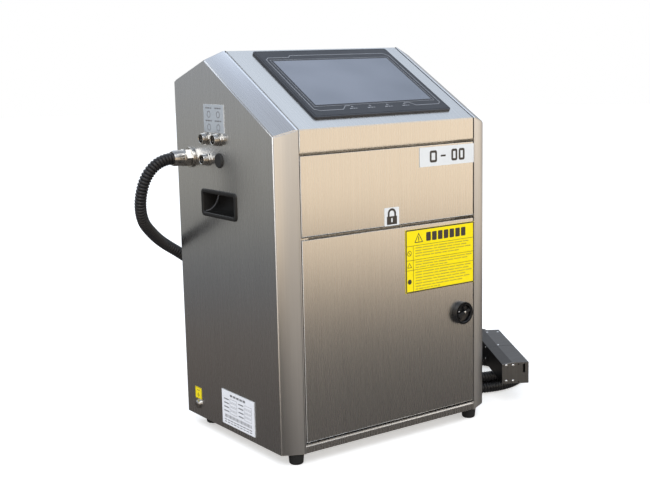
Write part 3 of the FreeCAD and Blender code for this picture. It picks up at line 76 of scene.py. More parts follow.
class NodeGraph:
    """Small helper that adds and joins shader nodes in one material."""

    def __init__(self, name: str) -> None:
        """Start a material with a Principled shader.

        Args:
            name: Name of the material.
        """
        self.material = bpy.data.materials.new(name)
        self.material.use_nodes = True
        self.tree = self.material.node_tree
        self.shader = self.tree.nodes["Principled BSDF"]

    def add(self, kind: str, **settings: object) -> bpy.types.Node:
        """Add a node and set its properties.

        Args:
            kind: Blender's name of the node type.
            **settings: Properties to set on the node.

        Returns:
            The new node.
        """
        node = self.tree.nodes.new(kind)
        for key, value in settings.items():
            setattr(node, key, value)
        return node

    def join(self, source: bpy.types.NodeSocket, target: bpy.types.NodeSocket) -> None:
        """Link an output socket to an input socket."""
        self.tree.links.new(source, target)

    def noise(self, scale: Point, detail: float = 3.0, rotation: Point = (0, 0, 0),
              roughness: float = 0.5) -> bpy.types.NodeSocket:
        """Noise stretched by a scale along each axis of the object.

        Args:
            scale: Cycles per metre along X, Y and Z.
            detail: Octaves of the noise.
            rotation: Turn of the pattern, in radians.
            roughness: Share of the fine octaves.

        Returns:
            The noise value's socket.
        """
        place = self.add("ShaderNodeTexCoord")
        mapping = self.add("ShaderNodeMapping")
        mapping.inputs["Scale"].default_value = scale
        mapping.inputs["Rotation"].default_value = rotation
        noise = self.add("ShaderNodeTexNoise")
        noise.inputs["Scale"].default_value = 1.0
        noise.inputs["Detail"].default_value = detail
        noise.inputs["Roughness"].default_value = roughness
        self.join(place.outputs["Object"], mapping.inputs["Vector"])
        self.join(mapping.outputs["Vector"], noise.inputs["Vector"])
        return noise.outputs["Fac"]

    def spread(self, value: bpy.types.NodeSocket, low: float, high: float,
               start: float = 0.3, stop: float = 0.7) -> bpy.types.NodeSocket:
        """Map a value from start..stop to low..high.

        Args:
            value: Socket to read.
            low: Result at start.
            high: Result at stop.
            start: Lower input.
            stop: Upper input.

        Returns:
            The mapped socket.
        """
        ranged = self.add("ShaderNodeMapRange")
        for key, number in (("From Min", start), ("From Max", stop), ("To Min", low),
                            ("To Max", high)):
            ranged.inputs[key].default_value = number
        self.join(value, ranged.inputs["Value"])
        return ranged.outputs["Result"]

    def blend(self, factor: bpy.types.NodeSocket, low: Colour, high: Colour
              ) -> bpy.types.NodeSocket:
        """Colour between two colours by a factor.

        Args:
            factor: Socket from 0 to 1.
            low: Linear colour at 0.
            high: Linear colour at 1.

        Returns:
            The colour socket.
        """
        ramp = self.add("ShaderNodeValToRGB")
        ramp.color_ramp.elements[0].color = (*low, 1.0)
        ramp.color_ramp.elements[1].color = (*high, 1.0)
        self.join(factor, ramp.inputs["Fac"])
        return ramp.outputs["Color"]

    def bump(self, height: bpy.types.NodeSocket, strength: float, distance: float) -> None:
        """Give the shader a bump from a height.

        Args:
            height: Socket with the height.
            strength: Share of the effect.
            distance: Height of one unit, in metres.
        """
        node = self.add("ShaderNodeBump")
        node.inputs["Strength"].default_value = strength
        node.inputs["Distance"].default_value = distance
        self.join(height, node.inputs["Height"])
        self.join(node.outputs["Normal"], self.shader.inputs["Normal"])


@dataclass(frozen=True)
class BrushedSteel:
    """Stainless sheet with fine polishing lines and faint handling marks."""

    name: str
    dark: Colour
    light: Colour
    roughness: tuple[float, float] = (0.26, 0.40)
    grain: Grain = Grain.SHEET
    turn: float = 0.0
    painted_side_shade: bool = False
    flange: bool = False

    def make(self) -> bpy.types.Material:
        """Build the material.

        Returns:
            The finished material.
        """
        graph = NodeGraph(self.name)
        shader = graph.shader
        shader.inputs["Metallic"].default_value = 1.0
        if self.grain is Grain.SHEET:
            lines = self._sheet_lines(graph, 2600.0, 14.0)
            streaks = self._sheet_lines(graph, 420.0, 1.6)
        else:
            spin = (0.0, 0.0, self.turn)
            lines = graph.noise((25.0, 1500.0, 1500.0), 2.0, spin)
            streaks = graph.noise((6.0, 160.0, 160.0), 2.0, spin)
        clouds = graph.noise((7.0, 7.0, 5.0), 3.0)
        both = graph.add("ShaderNodeMix", data_type="FLOAT")
        both.inputs["Factor"].default_value = 0.50
        graph.join(lines, both.inputs["A"])
        graph.join(streaks, both.inputs["B"])
        marked = graph.add("ShaderNodeMath", operation="MULTIPLY_ADD")
        marked.inputs[1].default_value = 0.35
        graph.join(clouds, marked.inputs[0])
        graph.join(both.outputs["Result"], marked.inputs[2])
        tone = graph.spread(marked.outputs["Value"], 0.0, 1.0, 0.38, 0.98)
        colour = graph.blend(tone, self.dark, self.light)
        # painted shade: near black on the sides and darker on the chamfers
        if self.painted_side_shade:
            colour = self._paint_side_shade(graph, colour)
        # painted reflection: the sloped flange is lightened towards a pale sky colour
        if self.flange:
            colour = self._painted_slope_reflection(graph, colour)
        graph.join(colour, shader.inputs["Base Color"])
        shine = graph.spread(lines, self.roughness[0], self.roughness[1])
        if self.flange:
            shine = self._duller_flange(graph, shine)
        graph.join(shine, shader.inputs["Roughness"])
        graph.bump(lines, 0.05, 0.00003)
        return graph.material

    @staticmethod
    def _duller_flange(graph: NodeGraph, shine: bpy.types.NodeSocket) -> bpy.types.NodeSocket:
        """Make the narrow front flange duller than the wide side.

        Args:
            graph: Material being built.
            shine: Roughness of the wide side.

        Returns:
            The roughness with a duller flange.
        """
        place = graph.add("ShaderNodeTexCoord")
        split = graph.add("ShaderNodeSeparateXYZ")
        graph.join(place.outputs["Normal"], split.inputs["Vector"])
        facing = graph.spread(split.outputs["Y"], 0.24, 0.0, -0.95, -0.80)
        total = graph.add("ShaderNodeMath", operation="ADD")
        graph.join(facing, total.inputs[0])
        graph.join(shine, total.inputs[1])
        return total.outputs["Value"]

    @staticmethod
    def _painted_slope_reflection(graph: NodeGraph, colour: bpy.types.NodeSocket) -> bpy.types.NodeSocket:
        """Lighten the sloped flange with a painted reflection of the pale sky, paler than the wide
        side.

        Args:
            graph: Material being built.
            colour: Colour of the wide side.

        Returns:
            The colour with the painted sky reflection on the slope.
        """
        place = graph.add("ShaderNodeTexCoord")
        split = graph.add("ShaderNodeSeparateXYZ")
        graph.join(place.outputs["Normal"], split.inputs["Vector"])
        mix = graph.add("ShaderNodeMix", data_type="RGBA")
        graph.join(graph.spread(split.outputs["Z"], 0.0, 1.0, 0.70, 0.84),
                   mix.inputs["Factor"])
        graph.join(colour, mix.inputs["A"])
        # bluish white of the painted sky reflection
        mix.inputs["B"].default_value = (0.955, 0.960, 0.975, 1.0)
        return mix.outputs["Result"]

    @staticmethod
    def _paint_side_shade(graph: NodeGraph, colour: bpy.types.NodeSocket) -> bpy.types.NodeSocket:
        """Paint shade on the faces that do not look up: near black sides, darker chamfers.

        Args:
            graph: Material being built.
            colour: Colour of the faces that look up.

        Returns:
            The colour with painted shade on the sides and chamfers.
        """
        place = graph.add("ShaderNodeTexCoord")
        split = graph.add("ShaderNodeSeparateXYZ")
        graph.join(place.outputs["Normal"], split.inputs["Vector"])
        ramp = graph.add("ShaderNodeValToRGB")
        stops = ramp.color_ramp.elements
        # painted shade: black below half-upright, grey on chamfers, full colour only on faces
        # looking up
        stops[0].position, stops[0].color = 0.50, (0.0, 0.0, 0.0, 1.0)
        stops[1].position, stops[1].color = 0.997, (1.0, 1.0, 1.0, 1.0)
        for position, level in ((0.60, 0.30), (0.990, 0.36)):
            stop = stops.new(position)
            stop.color = (level, level, level, 1.0)
        graph.join(split.outputs["Z"], ramp.inputs["Fac"])
        upright = ramp.outputs["Color"]
        mix = graph.add("ShaderNodeMix", data_type="RGBA")
        # near black colour of the painted shade on the sides
        mix.inputs["A"].default_value = (0.004, 0.004, 0.0045, 1.0)
        graph.join(upright, mix.inputs["Factor"])
        graph.join(colour, mix.inputs["B"])
        return mix.outputs["Result"]

    def _sheet_lines(self, graph: NodeGraph, across: float, along: float
                     ) -> bpy.types.NodeSocket:
        """Upright lines on the front and on the sides alike.

        Args:
            graph: Material being built.
            across: Lines per metre.
            along: Changes per metre down a line.

        Returns:
            Value of the lines.
        """
        front = graph.noise((across, along, along), 2.0)
        side = graph.noise((along, across, along), 2.0)
        place = graph.add("ShaderNodeTexCoord")
        split = graph.add("ShaderNodeSeparateXYZ")
        graph.join(place.outputs["Normal"], split.inputs["Vector"])
        facing = graph.add("ShaderNodeMath", operation="ABSOLUTE")
        graph.join(split.outputs["X"], facing.inputs[0])
        choice = graph.spread(facing.outputs["Value"], 0.0, 1.0, 0.70, 0.80)
        mix = graph.add("ShaderNodeMix", data_type="FLOAT")
        graph.join(choice, mix.inputs["Factor"])
        graph.join(front, mix.inputs["A"])
        graph.join(side, mix.inputs["B"])
        return mix.outputs["Result"]


@dataclass(frozen=True)
class Plating:
    """Bright plated or machined metal with faint turning marks."""

    name: str
    dark: Colour
    light: Colour
    roughness: tuple[float, float] = (0.10, 0.22)

    def make(self) -> bpy.types.Material:
        """Build the material.

        Returns:
            The finished material.
        """
        graph = NodeGraph(self.name)
        graph.shader.inputs["Metallic"].default_value = 1.0
        marks = graph.noise((260.0, 260.0, 260.0), 3.0)
        graph.join(graph.blend(marks, self.dark, self.light),
                   graph.shader.inputs["Base Color"])
        graph.join(graph.spread(marks, *self.roughness), graph.shader.inputs["Roughness"])
        graph.bump(graph.noise((900.0, 900.0, 900.0), 2.0), 0.05, 0.00003)
        return graph.material


@dataclass(frozen=True)
class Moulding:
    """Moulded plastic or rubber with a fine spark texture and a faint random mottle."""

    name: str
    dark: Colour
    light: Colour
    roughness: tuple[float, float] = (0.38, 0.52)
    texture: float = 0.15
    coat: float = 0.0

    def make(self) -> bpy.types.Material:
        """Build the material.

        Returns:
            The finished material.
        """
        graph = NodeGraph(self.name)
        tone = graph.noise((45.0, 45.0, 45.0), 4.0)
        graph.join(graph.blend(tone, self.dark, self.light),
                   graph.shader.inputs["Base Color"])
        graph.join(graph.spread(tone, *self.roughness), graph.shader.inputs["Roughness"])
        graph.shader.inputs["Coat Weight"].default_value = self.coat
        graph.bump(graph.noise((2200.0, 2200.0, 2200.0), 2.0), self.texture, 0.00005)
        return graph.material


@dataclass(frozen=True)
class PrintedFilm:
    """Thin printed film with a slight mottle."""

    name: str
    colour: Colour
    gloss: float = 0.35
    sheen: float = 0.5

    def make(self) -> bpy.types.Material:
        """Build the material.

        Returns:
            The finished material.
        """
        graph = NodeGraph(self.name)
        graph.shader.inputs["Specular IOR Level"].default_value = self.sheen
        mottle = graph.noise((120.0, 120.0, 120.0), 3.0)
        worn = tuple(0.93 * part for part in self.colour)
        graph.join(graph.blend(mottle, worn, self.colour), graph.shader.inputs["Base Color"])
        graph.join(graph.spread(mottle, self.gloss, self.gloss + 0.12),
                   graph.shader.inputs["Roughness"])
        return graph.material


@dataclass(frozen=True)
class ClearPlastic:
    """Cloudy bottle plastic that lets some light through."""

    name: str
    colour: Colour

    def make(self) -> bpy.types.Material:
        """Build the material.

        Returns:
            The finished material.
        """
        graph = NodeGraph(self.name)
        cloud = graph.noise((30.0, 30.0, 12.0), 3.0)
        pale = tuple(min(1.0, 1.1 * part) for part in self.colour)
        graph.join(graph.blend(cloud, self.colour, pale), graph.shader.inputs["Base Color"])
        graph.join(graph.spread(cloud, 0.32, 0.45), graph.shader.inputs["Roughness"])
        graph.shader.inputs["Subsurface Weight"].default_value = 0.25
        graph.shader.inputs["Subsurface Radius"].default_value = (0.004, 0.004, 0.003)
        return graph.material


@dataclass(frozen=True)
class ScreenGlass:
    """Screen film over a dark panel: soft grey-blue with a low sheen."""

    name: str
    deep: Colour
    pale: Colour

    def make(self) -> bpy.types.Material:
        """Build the material.

        Returns:
            The finished material.
        """
        graph = NodeGraph(self.name)
        haze = graph.noise((5.0, 7.0, 7.0), 2.0, (0.0, 0.0, 0.5))
        graph.join(graph.blend(graph.spread(haze, 0.0, 1.0, 0.35, 0.65), self.deep, self.pale),
                   graph.shader.inputs["Base Color"])
        graph.join(graph.spread(haze, 0.16, 0.24), graph.shader.inputs["Roughness"])
        graph.shader.inputs["Coat Weight"].default_value = 0.4
        graph.shader.inputs["Coat Roughness"].default_value = 0.08
        return graph.material


@dataclass(frozen=True)
class CircuitBoard:
    """Green solder mask with a faint track pattern."""

    name: str

    def make(self) -> bpy.types.Material:
        """Build the material.

        Returns:
            The finished material.
        """
        graph = NodeGraph(self.name)
        tracks = graph.add("ShaderNodeTexVoronoi", distance="CHEBYCHEV")
        tracks.inputs["Scale"].default_value = 260.0
        place = graph.add("ShaderNodeTexCoord")
        graph.join(place.outputs["Object"], tracks.inputs["Vector"])
        shade = graph.spread(tracks.outputs["Distance"], 0.0, 1.0, 0.2, 0.6)
        graph.join(graph.blend(shade, (0.004, 0.05, 0.015), (0.01, 0.13, 0.04)),
                   graph.shader.inputs["Base Color"])
        graph.shader.inputs["Roughness"].default_value = 0.35
        return graph.material


SHEET_STEEL = BrushedSteel("sheet_steel", (0.690, 0.682, 0.662), (0.775, 0.765, 0.745),
                           (0.255, 0.285))
# The side panels' sloped flange gets a painted sky reflection (flange).
SIDE_STEEL = BrushedSteel("side_steel", (0.690, 0.685, 0.675), (0.775, 0.770, 0.760),
                          (0.255, 0.285), flange=True)
# The head's steel gets painted shade on its sides and chamfers (last argument).
HEAD_STEEL = BrushedSteel("head_steel", (0.115, 0.113, 0.115), (0.165, 0.163, 0.165),
                          (0.30, 0.42), Grain.LENGTHWISE, 1.024, True)
PLATE_STEEL = BrushedSteel("plate_steel", (0.25, 0.25, 0.25), (0.36, 0.36, 0.36),
                           (0.30, 0.40))
HEAD_BLACK = Moulding("head_black", (0.004, 0.004, 0.004), (0.008, 0.008, 0.008),
                      (0.40, 0.50), 0.10)
GRIP_EDGE = Moulding("grip_edge", (0.13, 0.135, 0.15), (0.20, 0.205, 0.22), (0.25, 0.35), 0.05)
GRIP_PLASTIC = Moulding("grip_plastic", (0.004, 0.004, 0.004), (0.009, 0.009, 0.009),
                        (0.42, 0.55), 0.20)
FITTING_METAL = Plating("fitting_metal", (0.46, 0.45, 0.43), (0.66, 0.645, 0.62),
                        (0.14, 0.26))
SCREW_METAL = Plating("screw_metal", (0.80, 0.80, 0.79), (0.93, 0.93, 0.92), (0.25, 0.38))
TURNED_STEEL = Plating("turned_steel", (0.45, 0.45, 0.45), (0.70, 0.70, 0.69), (0.2, 0.32))
CAST_METAL = Plating("cast_metal", (0.36, 0.36, 0.37), (0.50, 0.50, 0.51), (0.45, 0.6))
BLACK_PLASTIC = Moulding("black_plastic_finish", (0.006, 0.006, 0.007), (0.014, 0.014, 0.016),
                         (0.30, 0.42), 0.12)
BEZEL_PLASTIC = Moulding("bezel_finish", (0.016, 0.018, 0.024), (0.026, 0.029, 0.038),
                         (0.34, 0.44), 0.08)
RUBBER = Moulding("rubber_finish", (0.008, 0.008, 0.008), (0.018, 0.018, 0.018),
                  (0.55, 0.7), 0.25)
HOSE_PLASTIC = Moulding("hose_finish", (0.006, 0.006, 0.007), (0.016, 0.016, 0.018),
                        (0.32, 0.46), 0.1)
PALE_FILM = PrintedFilm("pale_film", (0.66, 0.68, 0.69))
WHITE_FILM = PrintedFilm("white_film", (0.74, 0.75, 0.79))
SILVER_FILM = PrintedFilm("silver_film", (0.36, 0.39, 0.42))
YELLOW_FILM = PrintedFilm("yellow_film", (0.83, 0.67, 0.001), sheen=0.15)
# Dark print, and also painted shade in the screw slots, screw crosses and head plate holes.
DARK_INK_AND_SHADE = PrintedFilm("dark_ink_and_shade", (0.035, 0.028, 0.022), 0.45)
GREY_INK = PrintedFilm("grey_ink", (0.16, 0.16, 0.17), 0.45)
YELLOW_INK = PrintedFilm("faded_ink", (0.42, 0.34, 0.01), 0.45)
LIGHT_INK = PrintedFilm("light_ink", (0.33, 0.35, 0.39), 0.4)
BOTTLE_PLASTIC = ClearPlastic("bottle_finish", (0.62, 0.62, 0.58))
CAP_PLASTIC = Moulding("cap_finish", (0.01, 0.02, 0.16), (0.02, 0.035, 0.24))
TRAY_PLASTIC = Moulding("tray_finish", (0.07, 0.07, 0.075), (0.11, 0.11, 0.12))
SCREEN = ScreenGlass("screen_finish", (0.125, 0.145, 0.185), (0.20, 0.225, 0.28))
BOARD = CircuitBoard("board_finish")

SLOT_FINISH = {
    "cabinet_steel": SHEET_STEEL, "bright_steel": TURNED_STEEL, "nickel": FITTING_METAL,
    "bezel_plastic": BEZEL_PLASTIC, "screen_glass": BEZEL_PLASTIC,
    "black_plastic": BLACK_PLASTIC, "black_rubber": RUBBER, "pale_label": PALE_FILM,
    "yellow_label": YELLOW_FILM, "bottle_plastic": BOTTLE_PLASTIC,
    "cap_plastic": CAP_PLASTIC, "tray_plastic": TRAY_PLASTIC, "pump_metal": CAST_METAL,
    "circuit_board": BOARD, "head_steel": HEAD_STEEL, "hose_plastic": HOSE_PLASTIC,
}
NODE_SLOT = {part["node"]: part["material_slot"] for part in frame["record"]["subparts"]}
NODE_BODY = {node: body for body, nodes in frame["record"]["behaviour"]["bodies"].items()
             for node in nodes}
MADE: dict[str, bpy.types.Material] = {}


def dressed(finish: object) -> bpy.types.Material:
    """Material of a finish, made once.

    Args:
        finish: One of the finishes above.

    Returns:
        Its material.
    """
    if finish.name not in MADE:
        MADE[finish.name] = finish.make()
    return MADE[finish.name]


# ------------------------------------------------------------------ making pieces


def add_piece(name: str, work: bmesh.types.BMesh, body: str, finish: object,
              smooth_angle: float = 35.0) -> bpy.types.Object:
    """Turn a bmesh into a finished piece that rides on a body.

    Args:
        name: Name of the piece.
        work: Its mesh; freed here.
        body: Body that it moves with.
        finish: Finish of the piece.
        smooth_angle: Faces meeting at less than this, in degrees, shade as one.

    Returns:
        The new object.
    """
    bmesh.ops.recalc_face_normals(work, faces=work.faces)
    mesh = bpy.data.meshes.new(name)
    work.to_mesh(mesh)
    work.free()
    piece = bpy.data.objects.new(name, mesh)
    bpy.context.scene.collection.objects.link(piece)
    mesh.materials.append(dressed(finish))
    mesh.shade_smooth()
    mesh.set_sharp_from_angle(angle=math.radians(smooth_angle))
    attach(piece, body)
    return piece


@dataclass
class Plane:
    """Flat working plane: middle, direction across, direction up and direction out."""

    middle: Vector
    across: Vector
    up: Vector

    @property
    def out(self) -> Vector:
        """Direction out of the plane."""
        return self.across.cross(self.up)

    def at(self, across: float, up: float, out: float = 0.0) -> Vector:
        """Give the point in space of a place on the plane."""
        return self.middle + self.across * across + self.up * up + self.out * out


def front_plane(across: float, level: float) -> Plane:
    """Plane on the front, facing forward."""
    return Plane(Vector((across, FRONT_Y, level)), Vector((1, 0, 0)), Vector((0, 0, 1)))


def left_plane(back: float, level: float) -> Plane:
    """Plane on the left side, facing left."""
    return Plane(Vector((-SIDE_X, back, level)), Vector((0, -1, 0)), Vector((0, 0, 1)))


def right_plane(back: float, level: float) -> Plane:
    """Plane on the right side, facing right."""
    return Plane(Vector((SIDE_X, back, level)), Vector((0, 1, 0)), Vector((0, 0, 1)))


def rear_plane(across: float, level: float) -> Plane:
    """Plane on the back, facing back."""
    return Plane(Vector((across, BACK_Y, level)), Vector((-1, 0, 0)), Vector((0, 0, 1)))


def slope_plane(across: float, along: float) -> Plane:
    """Plane on the sloping lid at a distance up the slope, facing out of it."""
    up = Vector((0, math.cos(SLOPE), math.sin(SLOPE)))
    foot = Vector((across, FRONT_Y, CREASE_Z))
    return Plane(foot + up * along, Vector((1, 0, 0)), up)


class Relief:
    """Collects thin raised shapes on a plane into one mesh."""

    def __init__(self, plane: Plane, base: float, rise: float = 0.00012) -> None:
        """Start an empty relief.

        Args:
            plane: Plane to draw on.
            base: Height of the shapes' backs above the plane.
            rise: Thickness of the shapes.
        """
        self.plane = plane
        self.base = base
        self.rise = rise
        self.work = bmesh.new()

    def shape(self, outline: list[tuple[float, float]]) -> None:
        """Add a filled convex outline.

        Args:
            outline: Corners (across, up), in metres.
        """
        rings = []
        for height in (self.base, self.base + self.rise):
            rings.append([self.work.verts.new(self.plane.at(x, y, height)) for x, y in outline])
        low, high = rings
        self.work.faces.new(high)
        self.work.faces.new(list(reversed(low)))
        count = len(outline)
        for n in range(count):
            m = (n + 1) % count
            self.work.faces.new((low[n], low[m], high[m], high[n]))

    def bar(self, x: float, y: float, width: float, height: float, corner: float = 0.0) -> None:
        """Add a bar with rounded corners, centred on a place."""
        corner = min(corner, width / 2, height / 2)
        if corner <= 0:
            self.shape([(x - width / 2, y - height / 2), (x + width / 2, y - height / 2),
                        (x + width / 2, y + height / 2), (x - width / 2, y + height / 2)])
            return
        points = []
        for quarter, (sx, sy) in enumerate(((1, 1), (-1, 1), (-1, -1), (1, -1))):
            for step in range(5):
                angle = (quarter + step / 4) * math.pi / 2
                points.append((x + sx * (width / 2 - corner) + corner * math.cos(angle),
                               y + sy * (height / 2 - corner) + corner * math.sin(angle)))
        self.shape(points)

    def band(self, inner: list[tuple[float, float]], outer: list[tuple[float, float]],
             closed: bool = True) -> None:
        """Add a strip between two outlines with as many points each.

        Args:
            inner: One edge.
            outer: The other edge.
            closed: Whether the strip meets itself.
        """
        top, bottom = self.base + self.rise, self.base
        grid = [[self.work.verts.new(self.plane.at(x, y, height)) for x, y in edge]
                for edge, height in ((inner, bottom), (inner, top), (outer, top), (outer, bottom))]
        count = len(inner)
        for n in range(count if closed else count - 1):
            m = (n + 1) % count
            for row in range(4):
                other = (row + 1) % 4
                self.work.faces.new((grid[row][n], grid[row][m], grid[other][m],
                                     grid[other][n]))
        if not closed:
            for n in (0, count - 1):
                self.work.faces.new([grid[row][n] for row in range(4)])

    def ring(self, x: float, y: float, radius: float, width: float, start: float = 0.0,
             stop: float = 360.0, steps: int = 28) -> None:
        """Add a ring, or an arc of one, of a stroke width."""
        whole = abs(stop - start) >= 360.0
        count = steps if whole else steps + 1
        angles = [math.radians(start + (stop - start) * n / steps) for n in range(count)]
        edges = [[(x + r * math.cos(a), y + r * math.sin(a)) for a in angles]
                 for r in (radius - width / 2, radius + width / 2)]
        self.band(edges[0], edges[1], whole)

    def frame(self, x: float, y: float, width: float, height: float, stroke: float,
              corner: float = 0.0) -> None:
        """Add a rectangular frame with its outer edge of a width and height."""
        edges = []
        for inset in (stroke, 0.0):
            w, h, r = width - 2 * inset, height - 2 * inset, max(corner - inset, 0.00002)
            points = []
            for quarter, (sx, sy) in enumerate(((1, 1), (-1, 1), (-1, -1), (1, -1))):
                for step in range(5):
                    angle = (quarter + step / 4) * math.pi / 2
                    points.append((x + sx * (w / 2 - r) + r * math.cos(angle),
                                   y + sy * (h / 2 - r) + r * math.sin(angle)))
            edges.append(points)
        self.band(edges[0], edges[1])

    def stroke(self, points: list[tuple[float, float]], width: float) -> None:
        """Add a line through points with mitred corners."""
        left, right = [], []
        for n, (x, y) in enumerate(points):
            before = Vector(points[max(n - 1, 0)])
            after = Vector(points[min(n + 1, len(points) - 1)])
            here = Vector((x, y))
            into = (here - before).normalized() if n else (after - here).normalized()
            out_of = (after - here).normalized() if n < len(points) - 1 else into
            normal = Vector((-(into.y + out_of.y), into.x + out_of.x)).normalized()
            reach = width / 2 / max(0.4, normal.dot(Vector((-into.y, into.x))))
            left.append(tuple(here + normal * reach))
            right.append(tuple(here - normal * reach))
        self.band(left, right, False)

    def finish(self, name: str, body: str, slot: str, finish: object) -> bpy.types.Object:
        """Make the piece from what was drawn."""
        return add_piece(name, self.work, body, finish)


def revolve(work: bmesh.types.BMesh, plane: Plane, profile: list[tuple[float, float]],
            steps: int = 48) -> None:
    """Spin a profile of (radius, height) about the plane's outward direction.

    Args:
        work: Mesh to add to.
        plane: Plane whose middle is on the axis.
        profile: Points from one end to the other; a radius of zero closes the end.
        steps: Segments round the axis.
    """
    rings = []
    for radius, height in profile:
        if radius <= 1e-7:
            rings.append([work.verts.new(plane.at(0.0, 0.0, height))])
            continue
        rings.append([work.verts.new(plane.at(radius * math.cos(2 * math.pi * n / steps),
                                              radius * math.sin(2 * math.pi * n / steps),
                                              height)) for n in range(steps)])
    for low, high in zip(rings, rings[1:]):
        for n in range(steps):
            m = (n + 1) % steps
            if len(low) == 1 and len(high) == 1:
                continue
            if len(low) == 1:
                work.faces.new((low[0], high[n], high[m]))
            elif len(high) == 1:
                work.faces.new((low[n], low[m], high[0]))
            else:
                work.faces.new((low[n], low[m], high[m], high[n]))


def rounded_box(work: bmesh.types.BMesh, plane: Plane, size: Point, soft: float) -> None:
    """Add a box standing on a plane with its edges rounded.

    Args:
        work: Mesh to add to.
        plane: Plane under the middle of the box.
        size: Extent across, up and out.
        soft: Radius of the edges.
    """
    box = bmesh.new()
    bmesh.ops.create_cube(box, size=1.0)
    turn = Matrix((plane.across, plane.up, plane.out)).transposed().to_4x4()
    middle = plane.at(0.0, 0.0, size[2] / 2)
    box.transform(Matrix.Translation(middle) @ turn @ Matrix.Diagonal((*size, 1.0)))
    bmesh.ops.bevel(box, geom=box.edges[:], offset=soft, segments=3, affect="EDGES",
                    clamp_overlap=True)
    scratch = bpy.data.meshes.new("scratch")
    box.to_mesh(scratch)
    box.free()
    work.from_mesh(scratch)
    bpy.data.meshes.remove(scratch)


def moved(plane: Plane, across: float, up: float, out: float = 0.0) -> Plane:
    """The same plane with its middle moved."""
    return Plane(plane.at(across, up, out), plane.across, plane.up)


def turned(plane: Plane, degrees: float) -> Plane:
    """The same plane turned about its outward direction."""
    spin = Matrix.Rotation(math.radians(degrees), 3, plane.out)
    return Plane(plane.middle, spin @ plane.across, spin @ plane.up)


@dataclass
class SoftEdges:
    """Rounds the bends and edges of a CAD node, in a copy that stands for it."""

    node: str
    width: float
    bend: float = 0.0
    segments: int = 3
    limit: float = 35.0

    def _round_bends(self, work: bmesh.types.BMesh) -> None:
        """Round the long outer folds between wide faces with the bend radius."""
        folds = []
        for edge in work.edges:
            if len(edge.link_faces) != 2 or not edge.is_convex:
                continue
            length = edge.calc_length()
            if length < 0.020 or edge.calc_face_angle(0.0) < math.radians(25.0):
                continue
            if min(face.calc_area() for face in edge.link_faces) > 2.2 * self.bend * length:
                folds.append(edge)
        bmesh.ops.bevel(work, geom=folds, offset=self.bend, segments=4, affect="EDGES",
                        clamp_overlap=True)

    @staticmethod
    def _keep_inside(work: bmesh.types.BMesh, source: bpy.types.Object) -> None:
        """Bring points that a fold pushed past the node's own box back to its faces."""
        corners = [vertex.co for vertex in source.data.vertices]
        for axis in range(3):
            low = min(corner[axis] for corner in corners)
            high = max(corner[axis] for corner in corners)
            for vertex in work.verts:
                vertex.co[axis] = min(max(vertex.co[axis], low), high)

    @staticmethod
    def _flatten_panels(mesh: bpy.types.Mesh) -> None:
        """Keep the wide faces of a folded sheet flat; only the folds shade round."""
        for face in mesh.polygons:
            corners = [mesh.vertices[index].co for index in face.vertices]
            longest = max((a - b).length for a, b in zip(corners, corners[1:] + corners[:1]))
            if face.area > 0.0022 * longest:
                face.use_smooth = False

    def build(self) -> bpy.types.Object:
        """Make the rounded copy.

        Returns:
            The piece shown in the node's place.
        """
        source = frame["nodes"][self.node]
        work = bmesh.new()
        work.from_mesh(source.data)
        bmesh.ops.remove_doubles(work, verts=work.verts, dist=2e-6)
        bmesh.ops.dissolve_limit(work, angle_limit=math.radians(0.6), verts=work.verts,
                                 edges=work.edges, delimit=set())
        if self.bend > 0.0:
            self._round_bends(work)
            self._keep_inside(work, source)
        mesh = bpy.data.meshes.new(self.node + "_skin")
        work.to_mesh(mesh)
        work.free()
        piece = bpy.data.objects.new(self.node + "_skin", mesh)
        bpy.context.scene.collection.objects.link(piece)
        bevel = piece.modifiers.new("bends", "BEVEL")
        bevel.width = self.width
        bevel.segments = self.segments
        bevel.limit_method = "ANGLE"
        bevel.angle_limit = math.radians(self.limit)
        bevel.harden_normals = self.bend <= 0.0
        mesh.shade_smooth()
        if self.bend > 0.0:
            self._flatten_panels(mesh)
        mesh.set_sharp_from_angle(angle=math.radians(40.0))
        slot = NODE_SLOT[self.node]
        mesh.materials.clear()
        mesh.materials.append(dressed(SLOT_FINISH[slot]))
        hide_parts(self.node)
        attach(piece, NODE_BODY[self.node])
        return piece


